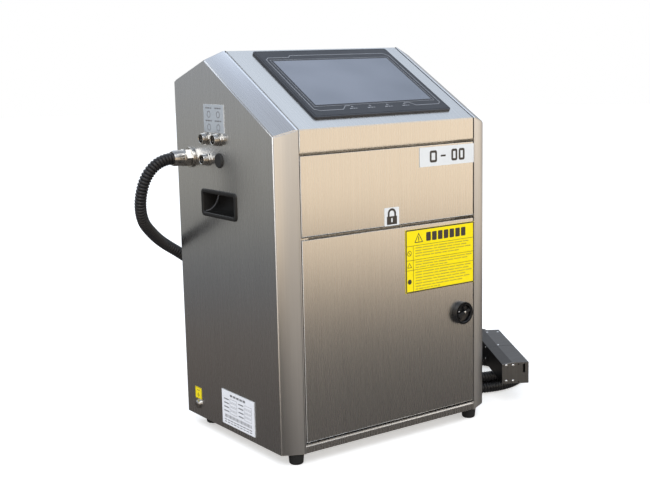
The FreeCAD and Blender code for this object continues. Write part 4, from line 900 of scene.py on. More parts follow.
class Dressing:
    """Gives every CAD node its finish and rounds the edges of the visible ones."""

    soft_nodes = {
        "left_side_panel": 0.0004, "right_side_panel": 0.0004, "roof_panel": 0.0004,
        "rear_panel": 0.0003, "base_pan": 0.0004, "lower_rail": 0.0004,
        "display_lid": 0.0004, "middle_cover": 0.0003, "lower_door": 0.0003,
        "display_bezel": 0.0006, "display_controller": 0.0008, "name_plate": 0.0002,
        "notice_plate": 0.0002, "legend_plate": 0.0002, "rating_plate": 0.0002,
        "gland_body": 0.0005, "gland_sleeve": 0.0005, "blanking_plug": 0.0006,
        "earth_screw": 0.0005, "rubber_feet": 0.0006, "finger_guard": 0.0002,
        "power_inlet": 0.0006, "power_rocker": 0.0004, "fan_frame": 0.0004,
        "head_end_plate": 0.0003, "head_cover": 0.0004, "head_block": 0.0005,
        "strain_relief": 0.0006, "power_supply": 0.0008, "mid_shelf": 0.0004,
        "bottle_tray": 0.0006, "valve_manifold": 0.0006, "pump": 0.0008,
        "ink_filter": 0.0008, "bottle_caps": 0.0005, "latch_housing": 0.0007,
        "latch_cam": 0.0004, "cross_rails": 0.0005,
    }

    bends = {
        "left_side_panel": 0.0016, "right_side_panel": 0.0016, "roof_panel": 0.0014,
        "base_pan": 0.0014, "lower_rail": 0.0022, "display_lid": 0.0014,
        "middle_cover": 0.0012, "lower_door": 0.0012,
    }
    special = {"left_side_panel": SIDE_STEEL, "right_side_panel": SIDE_STEEL,
               "head_end_plate": PLATE_STEEL, "strain_relief": HEAD_BLACK}

    def build(self) -> None:
        """Dress the nodes, then make the rounded copies."""
        for name, node in frame["nodes"].items():
            node.data.materials.clear()
            node.data.materials.append(dressed(SLOT_FINISH[NODE_SLOT[name]]))
        for name, width in self.soft_nodes.items():
            piece = SoftEdges(name, width, self.bends.get(name, 0.0)).build()
            if name in self.special:
                piece.data.materials[0] = dressed(self.special[name])
            LOG.info("rounded %s", name)


# ------------------------------------------------------------------ display


@dataclass
class Display:
    """Screen film, its outline and the marks under it."""

    surface: float = 0.003
    view_left: float = -0.093
    view_right: float = 0.106
    view_low: float = 0.050
    view_high: float = 0.165
    line: float = 0.0009

    def build(self) -> None:
        """Build the screen, the outline and the four marks."""
        plane = slope_plane(0.0, 0.0)
        screen = Relief(plane, self.surface, 0.0003)
        screen.bar((self.view_left + self.view_right) / 2, (self.view_low + self.view_high) / 2,
                   self.view_right - self.view_left, self.view_high - self.view_low, 0.0006)
        screen.finish("screen_view", "lid", "screen_glass", SCREEN)
        marks = Relief(plane, self.surface, 0.0002)
        self._outline(marks)
        self._legends(marks)
        marks.finish("screen_marks", "lid", "bezel_plastic", LIGHT_INK)
        LOG.info("display built")

    def _outline(self, marks: Relief) -> None:
        """Thin line round the screen with a step at the top and near the bottom."""
        gap = 0.0052
        left, right = self.view_left - gap, self.view_right + gap
        low, high = self.view_low - gap, self.view_high + gap
        step_left, step_right = left + 0.046, right - 0.046
        outer_left = left - 0.0035
        marks.stroke([(step_left + 0.012, low - 0.0005), (step_left + 0.004, low - 0.0005),
                      (step_left - 0.004, low - 0.0085), (left + 0.004, low - 0.0085),
                      (outer_left, low - 0.004), (outer_left, high - 0.001),
                      (left + 0.002, high + 0.004), (left + 0.036, high + 0.004),
                      (left + 0.041, high + 0.009), (right - 0.004, high + 0.009),
                      (right + 0.004, high + 0.002), (right + 0.004, low - 0.004),
                      (right - 0.001, low - 0.0085), (step_right + 0.004, low - 0.0085),
                      (step_right - 0.004, low - 0.0005), (step_right - 0.012, low - 0.0005)],
                     self.line)
        marks.frame((left + right) / 2, (low + high) / 2, right - left - 0.003,
                    high - low - 0.003, 0.0005, 0.001)

    def _legends(self, marks: Relief) -> None:
        """Four small lamps with a bar under each."""
        middle = (self.view_left + self.view_right) / 2
        for n in range(4):
            x = middle - 0.045 + n * 0.0300
            marks.ring(x, self.view_low - 0.0085, 0.0012, 0.0008)
            for k, (offset, width) in enumerate(((-0.0042, 0.0046), (0.0008, 0.0032),
                                                 (0.0048, 0.0026))):
                marks.bar(x + offset, self.view_low - 0.0128, width, 0.0016 - 0.0002 * k, 0.0003)


# ------------------------------------------------------------------ printed plates


class Labels:
    """Printed films: pictogram, notice, name, legend, rating and side marks."""

    plate = 0.0008

    def build(self) -> None:
        """Build all the printed films."""
        self._padlock()
        self._notice()
        self._name()
        self._legend()
        self._rating()
        self._side_mark()
        LOG.info("labels built")

    def _padlock(self) -> None:
        """Pale label with a closed padlock on the middle cover."""
        plane = front_plane(-0.0005, 0.3195)
        label = Relief(plane, 0.0, 0.0003)
        label.bar(0.0, 0.0, 0.0255, 0.0250, 0.0008)
        label.finish("lock_label", "cover", "pale_label", PALE_FILM)
        sign = Relief(plane, 0.0003)
        for side in (-1, 1):
            sign.bar(side * 0.0050, -0.0052, 0.0074, 0.0112, 0.0006)
        sign.bar(0.0, -0.0092, 0.0036, 0.0030)
        sign.bar(0.0, -0.0008, 0.0036, 0.0024)
        sign.ring(0.0, 0.0042, 0.0056, 0.0030, 0.0, 180.0, 20)
        for side in (-1, 1):
            sign.bar(side * 0.0056, 0.0024, 0.0030, 0.0050)
        sign.finish("lock_sign", "cover", "black_plastic", DARK_INK_AND_SHADE)

    def _notice(self) -> None:
        """Yellow notice: dark border, ruled bands, plain icons and grey bars."""
        width, height = 0.127, 0.089
        plane = front_plane(0.086, 0.2532)
        ink = Relief(plane, self.plate)
        ink.frame(0.0, 0.0, width - 0.0004, height - 0.0004, 0.0017, 0.0020)
        rules = (0.0215, 0.0015, -0.0125)
        for level in rules:
            ink.bar(0.0, level, width - 0.0026, 0.0005)
        ink.bar(-0.0500, -0.0110, 0.0005, 0.0650)
        self._heading(ink)
        ink.ring(-0.0568, 0.0115, 0.0034, 0.0007)
        ink.stroke([(-0.0590, 0.0135), (-0.0546, 0.0093)], 0.0007)
        ink.stroke([(-0.0604, -0.0085), (-0.0568, -0.0022), (-0.0532, -0.0085),
                    (-0.0600, -0.0085)], 0.0007)
        ink.ring(-0.0568, -0.0285, 0.0018, 0.0034)
        ink.finish("notice_ink", "door", "black_plastic", DARK_INK_AND_SHADE)
        bars = Relief(plane, self.plate)
        self._paragraphs(bars)
        bars.finish("notice_bars", "door", "yellow_label", YELLOW_INK)

    def _heading(self, ink: Relief) -> None:
        """Triangle and a row of plain blocks at the top of the notice."""
        ink.stroke([(-0.0470, 0.0258), (-0.0400, 0.0378), (-0.0330, 0.0258),
                    (-0.0464, 0.0258)], 0.0010)
        ink.bar(-0.0400, 0.0312, 0.0013, 0.0050, 0.0005)
        ink.bar(-0.0400, 0.0275, 0.0013, 0.0013, 0.0005)
        for n in range(7):
            ink.bar(-0.0222 + n * 0.0108, 0.0320, 0.0084, 0.0124, 0.0014)

    def _paragraphs(self, bars: Relief) -> None:
        """Grey bars in place of small print, uneven in length."""
        rows = ((0.0180, 0.100), (0.0142, 0.096), (0.0104, 0.104), (0.0066, 0.082),
                (-0.0018, 0.106), (-0.0056, 0.098), (-0.0094, 0.060),
                (-0.0162, 0.104), (-0.0202, 0.100), (-0.0242, 0.106), (-0.0282, 0.094),
                (-0.0322, 0.102), (-0.0362, 0.088), (-0.0400, 0.046))
        for level, length in rows:
            start = -0.0468
            for n, share in enumerate((0.13, 0.21, 0.09, 0.17, 0.12, 0.16, 0.12)):
                run = length * share
                bars.bar(start + run / 2, level, run - 0.0014, 0.0014 - 0.0001 * (n % 3), 0.0004)
                start += run

    def _name(self) -> None:
        """Name plate with three plain blocks and a dash."""
        plane = front_plane(0.099, 0.3958)
        ink = Relief(plane, self.plate)
        for x, width in ((-0.0255, 0.0130), (0.0130, 0.0110), (0.0268, 0.0110)):
            ink.frame(x, 0.0, width, 0.0165, 0.0032, 0.0030)
        ink.bar(-0.0075, 0.0, 0.0092, 0.0024, 0.0006)
        ink.finish("name_ink", "cover", "black_plastic", DARK_INK_AND_SHADE)

    def _legend(self) -> None:
        """Silver legend over the sockets with four rings and bars."""
        plane = left_plane(0.0246, 0.4554)
        film = Relief(plane, self.plate, 0.0002)
        film.bar(0.0, 0.0, 0.0535, 0.0375, 0.0006)
        film.finish("legend_film", "cabinet", "pale_label", SILVER_FILM)
        ink = Relief(plane, self.plate + 0.0002)
        for x in (-0.0125, 0.0125):
            for y, bar_y in ((0.0055, 0.0140), (-0.0120, -0.0032)):
                ink.ring(x, y, 0.0042, 0.0010)
                for k, width in enumerate((0.0046, 0.0058, 0.0036)):
                    ink.bar(x - 0.0064 + k * 0.0062, bar_y, width, 0.0018, 0.0003)
        ink.finish("legend_ink", "cabinet", "black_plastic", GREY_INK)

    def _rating(self) -> None:
        """White rating plate with a plain table, a row of strokes and bars."""
        plane = left_plane(-0.012, 0.0492)
        film = Relief(plane, self.plate, 0.0002)
        film.bar(0.0, 0.0, 0.0855, 0.0495, 0.0006)
        film.finish("rating_film", "cabinet", "pale_label", WHITE_FILM)
        ink = Relief(plane, self.plate + 0.0002)
        for n in range(5):
            ink.bar(-0.0170 + n * 0.0085, 0.0195, 0.0064, 0.0030, 0.0005)
        for side in (-1, 1):
            for row in range(4):
                level = 0.0125 - row * 0.0058
                ink.bar(side * 0.0195 - 0.0110, level, 0.0130, 0.0016, 0.0003)
                ink.frame(side * 0.0195 + 0.0075, level, 0.0190, 0.0044, 0.0003)
        for n in range(22):
            ink.bar(-0.0345 + n * 0.0033, -0.0122, 0.0012 + 0.0008 * (n * 7 % 3 == 1), 0.0046)
        for n in range(9):
            ink.bar(-0.0340 + n * 0.0084, -0.0178, 0.0066, 0.0012, 0.0003)
            ink.bar(-0.0340 + n * 0.0084, -0.0212, 0.0050 + 0.0012 * (n % 2), 0.0012, 0.0003)
        ink.finish("rating_ink", "cabinet", "black_plastic", GREY_INK)

    def _side_mark(self) -> None:
        """Small yellow mark over the earth screw."""
        plane = left_plane(0.1012, 0.0505)
        film = Relief(plane, 0.0, 0.0003)
        film.bar(0.0, 0.0, 0.0185, 0.0175, 0.0008)
        film.finish("earth_film", "cabinet", "yellow_label", YELLOW_FILM)
        ink = Relief(plane, 0.0003)
        ink.frame(0.0, 0.0, 0.0175, 0.0165, 0.0004, 0.0006)
        ink.bar(0.0, 0.0042, 0.0070, 0.0010, 0.0003)
        ink.bar(0.0, -0.0008, 0.0010, 0.0030)
        for n, width in enumerate((0.0070, 0.0046, 0.0022)):
            ink.bar(0.0, -0.0026 - n * 0.0014, width, 0.0006)
        ink.finish("earth_ink", "cabinet", "black_plastic", DARK_INK_AND_SHADE)


# ------------------------------------------------------------------ left side fittings


@dataclass
class GripCup:
    """Moulded hand grip: rounded frame round a scoop that is deep at its top."""

    back: float = 0.0198
    level: float = 0.338
    width: float = 0.094
    height: float = 0.0385
    rim: float = 0.0058
    corner: float = 0.0062
    proud: float = 0.0018
    depth: float = 0.0262
    rows: int = 12

    def build(self, node: str, plane: Plane) -> None:
        """Build one grip.

        Args:
            node: CAD node that it stands for.
            plane: Plane of the side it sits in, at the grip's middle.
        """
        work = bmesh.new()
        self._frame(work, plane)
        self._scoop(work, plane)
        piece = add_piece(node + "_moulding", work, NODE_BODY[node],
                          GRIP_PLASTIC, 50.0)
        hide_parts(node)
        beads = bmesh.new()
        for side in (-1, 1):
            self._bead(beads, plane, side)
        add_piece(node + "_beads", beads, NODE_BODY[node], GRIP_EDGE)
        LOG.info("grip %s built", node)

    def _loop(self, inset: float, out: float, plane: Plane, corner: float) -> list[Vector]:
        """Rounded rectangle at an inset from the frame's edge."""
        half_w, half_h = self.width / 2 - inset, self.height / 2 - inset
        points = []
        for quarter, (sx, sy) in enumerate(((1, 1), (-1, 1), (-1, -1), (1, -1))):
            for step in range(6):
                angle = (quarter + step / 5) * math.pi / 2
                points.append(plane.at(sx * (half_w - corner) + corner * math.cos(angle),
                                       sy * (half_h - corner) + corner * math.sin(angle), out))
        return points

    def _frame(self, work: bmesh.types.BMesh, plane: Plane) -> None:
        """Crowned frame and the straight throat behind it."""
        rings = []
        for inset, out, corner in ((0.0, 0.0, self.corner), (0.0, 0.0010, self.corner),
                                   (0.0005, 0.0016, self.corner - 0.0004),
                                   (0.0014, self.proud, self.corner - 0.0010),
                                   (self.rim - 0.0012, self.proud, 0.0030),
                                   (self.rim - 0.0003, 0.0014, 0.0026),
                                   (self.rim, 0.0006, 0.0024),
                                   (self.rim, -self.depth, 0.0024),
                                   (self.rim - 0.0014, -self.depth - 0.0010, 0.0030),
                                   (self.rim - 0.0014, -0.0002, 0.0030),
                                   (0.0, -0.0001, self.corner)):
            rings.append([work.verts.new(p) for p in self._loop(inset, out, plane, corner)])
        for low, high in zip(rings, rings[1:]):
            for n in range(len(low)):
                m = (n + 1) % len(low)
                work.faces.new((low[n], low[m], high[m], high[n]))

    def _bowl(self, share: float) -> tuple[float, float]:
        """Height and depth on the scoop at a share of the way from its lip to its top."""
        angle = math.pi / 2 * share
        half_h = self.height / 2 - self.rim
        return (-half_h + 0.0004 + (2 * half_h - 0.0008) * (1.0 - math.cos(angle)),
                -0.0022 - (self.depth - 0.0046) * math.sin(angle))

    def _bead(self, work: bmesh.types.BMesh, plane: Plane, side: int) -> None:
        """Fine raised bead where the scoop meets an end wall."""
        inner = self.width / 2 - self.rim - 0.0004
        rings = []
        for row in range(self.rows + 1):
            up, out = self._bowl(row / self.rows)
            rings.append([work.verts.new(plane.at(side * (inner - across), up + high,
                                                  out + high))
                          for across, high in ((0.0, -0.0004), (0.0, 0.0008),
                                               (0.0005, 0.0010), (0.0011, 0.0006),
                                               (0.0012, -0.0004))])
        for low, high in zip(rings, rings[1:]):
            for n in range(5):
                m = (n + 1) % 5
                work.faces.new((low[n], low[m], high[m], high[n]))
        work.faces.new(rings[0])
        work.faces.new(list(reversed(rings[-1])))

    def _scoop(self, work: bmesh.types.BMesh, plane: Plane) -> None:
        """Curved floor of the grip, deep under the top edge and flush at the bottom."""
        half_w = self.width / 2 - self.rim + 0.0006
        front, rear = [], []
        for row in range(self.rows + 1):
            up, out = self._bowl(row / self.rows)
            front.append([work.verts.new(plane.at(side * half_w, up, out))
                          for side in (-1.0, -0.5, 0.0, 0.5, 1.0)])
            rear.append([work.verts.new(plane.at(side * half_w, up - 0.0010, out - 0.0010))
                         for side in (-1.0, -0.5, 0.0, 0.5, 1.0)])
        for grid in (front, rear):
            for low, high in zip(grid, grid[1:]):
                for n in range(4):
                    work.faces.new((low[n], low[n + 1], high[n + 1], high[n]))
        for n in range(4):
            work.faces.new((front[0][n], front[0][n + 1], rear[0][n + 1], rear[0][n]))
            work.faces.new((front[-1][n], front[-1][n + 1], rear[-1][n + 1], rear[-1][n]))
        for column in (0, 4):
            for row in range(self.rows):
                work.faces.new((front[row][column], front[row + 1][column],
                                rear[row + 1][column], rear[row][column]))


@dataclass
class SignalSocket:
    """Threaded round socket with a hexagon nut, black insert and contacts."""

    back: float
    level: float
    contacts: int = 4
    barrel: float = 0.0076
    bore: float = 0.0056
    length: float = 0.0100

    def build(self, node: str) -> None:
        """Build one socket.

        Args:
            node: CAD node that it stands for.
        """
        plane = left_plane(self.back, self.level)
        work = bmesh.new()
        revolve(work, plane, [(0.0, -0.0140), (0.0063, -0.0140), (0.0063, 0.0)])
        revolve(work, plane, [(0.0063, 0.0), (0.0090, 0.0), (0.0090, 0.0005), (0.0086, 0.0008),
                              (0.0063, 0.0008)])
        self._nut(work, plane)
        profile = [(self.barrel - 0.0012, 0.0020), (self.barrel - 0.0004, 0.0030)]
        for n in range(6):
            start = 0.0034 + n * 0.0009
            profile += [(self.barrel - 0.0004, start), (self.barrel, start + 0.0003),
                        (self.barrel, start + 0.0005), (self.barrel - 0.0004, start + 0.0008)]
        profile += [(self.barrel - 0.0002, 0.0092), (self.barrel - 0.0005, self.length),
                    (self.bore + 0.0004, self.length), (self.bore, self.length - 0.0004),
                    (self.bore, 0.0024)]
        revolve(work, plane, profile)
        shell = add_piece(node + "_shell", work, "cabinet", FITTING_METAL)
        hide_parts(node)
        self._insert(node, plane)
        LOG.info("socket %s built", node)

    def _nut(self, work: bmesh.types.BMesh, plane: Plane) -> None:
        """Flat hexagon nut with chamfered corners."""
        rings = []
        for share, out in ((0.90, 0.0008), (1.0, 0.0012), (1.0, 0.0026), (0.90, 0.0030)):
            ring = []
            for n in range(36):
                angle = 2 * math.pi * n / 36
                flat = 0.0086 / math.cos((angle % (math.pi / 3)) - math.pi / 6)
                radius = min(flat, 0.0096) * share
                ring.append(work.verts.new(plane.at(radius * math.cos(angle),
                                                    radius * math.sin(angle), out)))
            rings.append(ring)
        rings.insert(0, [work.verts.new(plane.at(0.0066 * math.cos(2 * math.pi * n / 36),
                                                 0.0066 * math.sin(2 * math.pi * n / 36),
                                                 0.0008)) for n in range(36)])
        rings.append([work.verts.new(plane.at(0.0066 * math.cos(2 * math.pi * n / 36),
                                              0.0066 * math.sin(2 * math.pi * n / 36),
                                              0.0030)) for n in range(36)])
        for low, high in zip(rings, rings[1:]):
            for n in range(36):
                m = (n + 1) % 36
                work.faces.new((low[n], low[m], high[m], high[n]))

    def _insert(self, node: str, plane: Plane) -> None:
        """Black insert with a key, and plated contacts standing in it."""
        body = bmesh.new()
        revolve(body, plane, [(0.0, 0.0052), (self.bore - 0.0002, 0.0052),
                              (self.bore - 0.0002, 0.0024), (0.0, 0.0024)])
        rounded_box(body, moved(plane, 0.0, self.bore - 0.0011, 0.0050),
                    (0.0018, 0.0014, 0.0034), 0.0003)
        add_piece(node + "_insert", body, "cabinet", BLACK_PLASTIC)
        pins = bmesh.new()
        for n in range(self.contacts):
            angle = 2 * math.pi * (n + 0.5) / self.contacts
            place = moved(plane, 0.0028 * math.cos(angle), 0.0028 * math.sin(angle), 0.0050)
            revolve(pins, place, [(0.0, 0.0), (0.0006, 0.0), (0.0006, 0.0030), (0.0004, 0.0034),
                                  (0.0, 0.0035)], 12)
        add_piece(node + "_contacts", pins, "cabinet", FITTING_METAL)


class SmallFixings:
    """Screws, washers, gland rings and the earth stud on the outside."""

    def build(self) -> None:
        """Build all the small fixings."""
        self._gland_rings()
        self._earth()
        self._screws()
        LOG.info("fixings built")

    def _gland_rings(self) -> None:
        """Thread, bright washer and clamping ring of the hose gland."""
        plane = left_plane(0.0945, 0.3987)
        work = bmesh.new()
        revolve(work, plane, [(0.0118, 0.0019), (0.0142, 0.0019), (0.0145, 0.0023),
                              (0.0145, 0.0029), (0.0142, 0.0033), (0.0118, 0.0033)], 64)
        revolve(work, plane, [(0.0106, 0.0118), (0.0120, 0.0122), (0.0120, 0.0140),
                              (0.0112, 0.0146), (0.0106, 0.0146)], 64)
        revolve(work, plane, [(0.0098, 0.0286), (0.0101, 0.0296), (0.0099, 0.0304),
                              (0.0088, 0.0304), (0.0088, 0.0286)], 64)
        add_piece("gland_rings", work, "cabinet", FITTING_METAL)

    def _earth(self) -> None:
        """Domed earth screw and a spring washer, with its slot as a dark bar of painted shade."""
        plane = left_plane(0.1012, 0.034)
        work = bmesh.new()
        revolve(work, plane, [(0.0, 0.0046), (0.0022, 0.0045), (0.0040, 0.0041),
                              (0.0052, 0.0034), (0.0060, 0.0022), (0.0060, 0.0010),
                              (0.0072, 0.0010), (0.0072, 0.0), (0.0, 0.0)])
        screw = add_piece("earth_stud", work, "cabinet", FITTING_METAL)
        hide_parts("earth_screw")
        # painted shade: a thin dark bar stands for the shadowed slot in the dome
        slot = Relief(plane, 0.0040, 0.0006)
        slot.bar(0.0, 0.0, 0.0085, 0.0011, 0.0003)
        slot.finish("earth_slot_shade", "cabinet", "black_plastic", DARK_INK_AND_SHADE)

    def _screws(self) -> None:
        """Cross head screws on the back, the underside flange and the fan."""
        places: list[tuple[Plane, float]] = []
        for side in (-1, 1):
            for level in (0.030, 0.150, 0.270, 0.390, 0.485):
                places.append((rear_plane(side * 0.168, level), 0.0036))
            places.append((rear_plane(side * 0.060, 0.494), 0.0036))
            places.append((rear_plane(side * 0.060, 0.024), 0.0036))
        for across in (-1, 1):
            for level in (-1, 1):
                places.append((rear_plane(0.070 + across * 0.0358, 0.405 + level * 0.0358),
                               0.0030))
        heads, crosses = bmesh.new(), bmesh.new()
        for plane, radius in places:
            self._pan_head(heads, crosses, plane, radius)
        add_piece("rear_screws", heads, "cabinet", TURNED_STEEL)
        add_piece("rear_screw_cross_shade", crosses, "cabinet", DARK_INK_AND_SHADE)

    @staticmethod
    def _pan_head(heads: bmesh.types.BMesh, crosses: bmesh.types.BMesh, plane: Plane,
                  radius: float) -> None:
        """Add one pan head screw with a dark cross of painted shade in it.

        Args:
            heads: Mesh of the heads.
            crosses: Mesh of the dark crosses, painted shade of the cross recesses.
            plane: Plane under the head.
            radius: Radius of the head.
        """
        revolve(heads, plane, [(0.0, 0.62 * radius), (0.5 * radius, 0.58 * radius),
                               (0.85 * radius, 0.40 * radius), (radius, 0.14 * radius),
                               (radius, 0.0), (0.0, 0.0)], 24)
        # painted shade: thin dark boxes stand for the shadowed cross recess
        for size in ((radius, 0.24 * radius, 0.0002), (0.24 * radius, radius, 0.0002)):
            rounded_box(crosses, moved(plane, 0.0, 0.0, 0.60 * radius - 0.0001), size, 0.00004)


@dataclass
class DoorLatch:
    """Dial of the cam latch: bar grip and a bright centre screw."""

    across: float = 0.1248
    level: float = 0.1673
    well: float = 0.0122

    def build(self) -> None:
        """Build the turning dial, its screw and the fixed notch ring."""
        plane = front_plane(self.across, self.level)
        dial = bmesh.new()
        revolve(dial, plane, [(0.0, 0.0022), (0.0046, 0.0022), (0.0050, 0.0026),
                              (0.0096, 0.0028), (0.0112, 0.0034), (self.well, 0.0034),
                              (self.well, 0.0024), (self.well, 0.0018), (0.0050, 0.0018),
                              (0.0050, -0.0258), (0.0, -0.0258)])
        grip = turned(plane, 18.0)
        rounded_box(dial, moved(grip, 0.0, 0.0, 0.0020), (0.0236, 0.0050, 0.0058), 0.0011)
        for side in (-1, 1):
            rounded_box(dial, moved(grip, side * 0.0058, side * 0.0052, 0.0020),
                        (0.0060, 0.0058, 0.0030), 0.0008)
        knob = add_piece("latch_dial", dial, "latch", BLACK_PLASTIC)
        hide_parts("latch_knob")
        screw = bmesh.new()
        head = moved(grip, 0.0018, 0.0, 0.0072)
        revolve(screw, head, [(0.0, 0.0007), (0.0013, 0.0006), (0.0021, 0.0002),
                              (0.0022, -0.0006), (0.0, -0.0006)], 20)
        rounded_box(screw, moved(grip, -0.0068, 0.0050, 0.0046), (0.0030, 0.0012, 0.0010),
                    0.0003)
        add_piece("latch_screw", screw, "latch", SCREW_METAL)
        ring = bmesh.new()
        revolve(ring, plane, [(0.0128, 0.0075), (0.0134, 0.0080), (0.0150, 0.0080),
                              (0.0158, 0.0077), (0.0158, 0.0073), (0.0128, 0.0073)], 64)
        rounded_box(ring, moved(turned(plane, -38.0), 0.0134, 0.0, 0.0022),
                    (0.0030, 0.0036, 0.0050), 0.0005)
        add_piece("latch_ring", ring, "door", BLACK_PLASTIC)
        LOG.info("latch built")


@dataclass
class PrintHead:
    """Details of the print head: plate screws, small holes as dark discs of painted shade, and the
    jet slot's rim.
    """

    rear_x: float = 0.3485
    rear_y: float = 0.0479
    lift: float = 0.037
    heading: float = math.radians(-121.3)
    length: float = 0.205
    width: float = 0.041
    height: float = 0.033

    def _end_plane(self, across: float, up: float) -> Plane:
        """Plane on the end plate, facing forward along the head."""
        forward = Vector((math.cos(self.heading), math.sin(self.heading), 0.0))
        left = Vector((-forward.y, forward.x, 0.0))
        middle = Vector((self.rear_x, self.rear_y, self.lift)) + forward * self.length
        return Plane(middle + left * across + Vector((0, 0, up)), left, Vector((0, 0, 1)))

    def _top_plane(self, along: float, across: float) -> Plane:
        """Plane on the flat part of the head's top, facing up."""
        forward = Vector((math.cos(self.heading), math.sin(self.heading), 0.0))
        left = Vector((-forward.y, forward.x, 0.0))
        middle = Vector((self.rear_x, self.rear_y, self.lift + self.height))
        return Plane(middle + forward * along + left * across, -left, forward)

    def _side_plane(self, along: float, up: float, side: int) -> Plane:
        """Plane on one of the head's sides; side is 1 for its left."""
        forward = Vector((math.cos(self.heading), math.sin(self.heading), 0.0))
        left = Vector((-forward.y, forward.x, 0.0))
        middle = Vector((self.rear_x, self.rear_y, self.lift)) + forward * along
        return Plane(middle + left * side * self.width / 2 + Vector((0, 0, up)),
                     -forward * side, Vector((0, 0, 1)))

    def build(self) -> None:
        """Build the screws, marks and the slot's rim."""
        screws, holes = bmesh.new(), bmesh.new()
        for across in (-0.0142, -0.0038):
            for up in (0.0040, 0.0284):
                revolve(screws, self._end_plane(across, up),
                        [(0.0, 0.0012), (0.0009, 0.0011), (0.0016, 0.0008), (0.0020, 0.0003),
                         (0.0020, 0.0), (0.0, 0.0)], 24)
        # painted shade: thin dark discs stand for the shadowed insides of the small holes
        for across, up in ((0.0048, 0.0302), (0.0048, 0.0022)):
            revolve(holes, self._end_plane(across, up),
                    [(0.0, 0.0002), (0.0014, 0.0002), (0.0014, 0.0), (0.0, 0.0)], 16)
        add_piece("head_plate_screws", screws, "jet_cover", SCREW_METAL)
        add_piece("head_plate_hole_shade", holes, "jet_cover", DARK_INK_AND_SHADE)
        rim = Relief(self._end_plane(0.0133, 0.0235), 0.0, 0.0003)
        rim.frame(0.0, 0.0, 0.0050, 0.0160, 0.0009, 0.0024)
        rim.finish("jet_slot_rim", "jet_cover", "bright_steel", FITTING_METAL)
        top = bmesh.new()
        for place in (self._top_plane(0.0990, -0.0030), self._top_plane(0.0160, -0.0030),
                      self._top_plane(0.0160, 0.0150)):
            revolve(top, place, [(0.0, 0.0008), (0.0009, 0.0007), (0.0016, 0.0003),
                                 (0.0018, 0.0), (0.0, 0.0)], 20)
        for along in (0.020, 0.085):
            for up in (0.007, 0.026):
                for side in (-1, 1):
                    revolve(top, self._side_plane(along, up, side),
                            [(0.0, 0.0006), (0.0009, 0.0005), (0.0016, 0.0002), (0.0017, 0.0),
                             (0.0, 0.0)], 20)
        add_piece("head_screws", top, "cabinet", SCREW_METAL)
        LOG.info("print head dressed")


# ------------------------------------------------------------------ hose


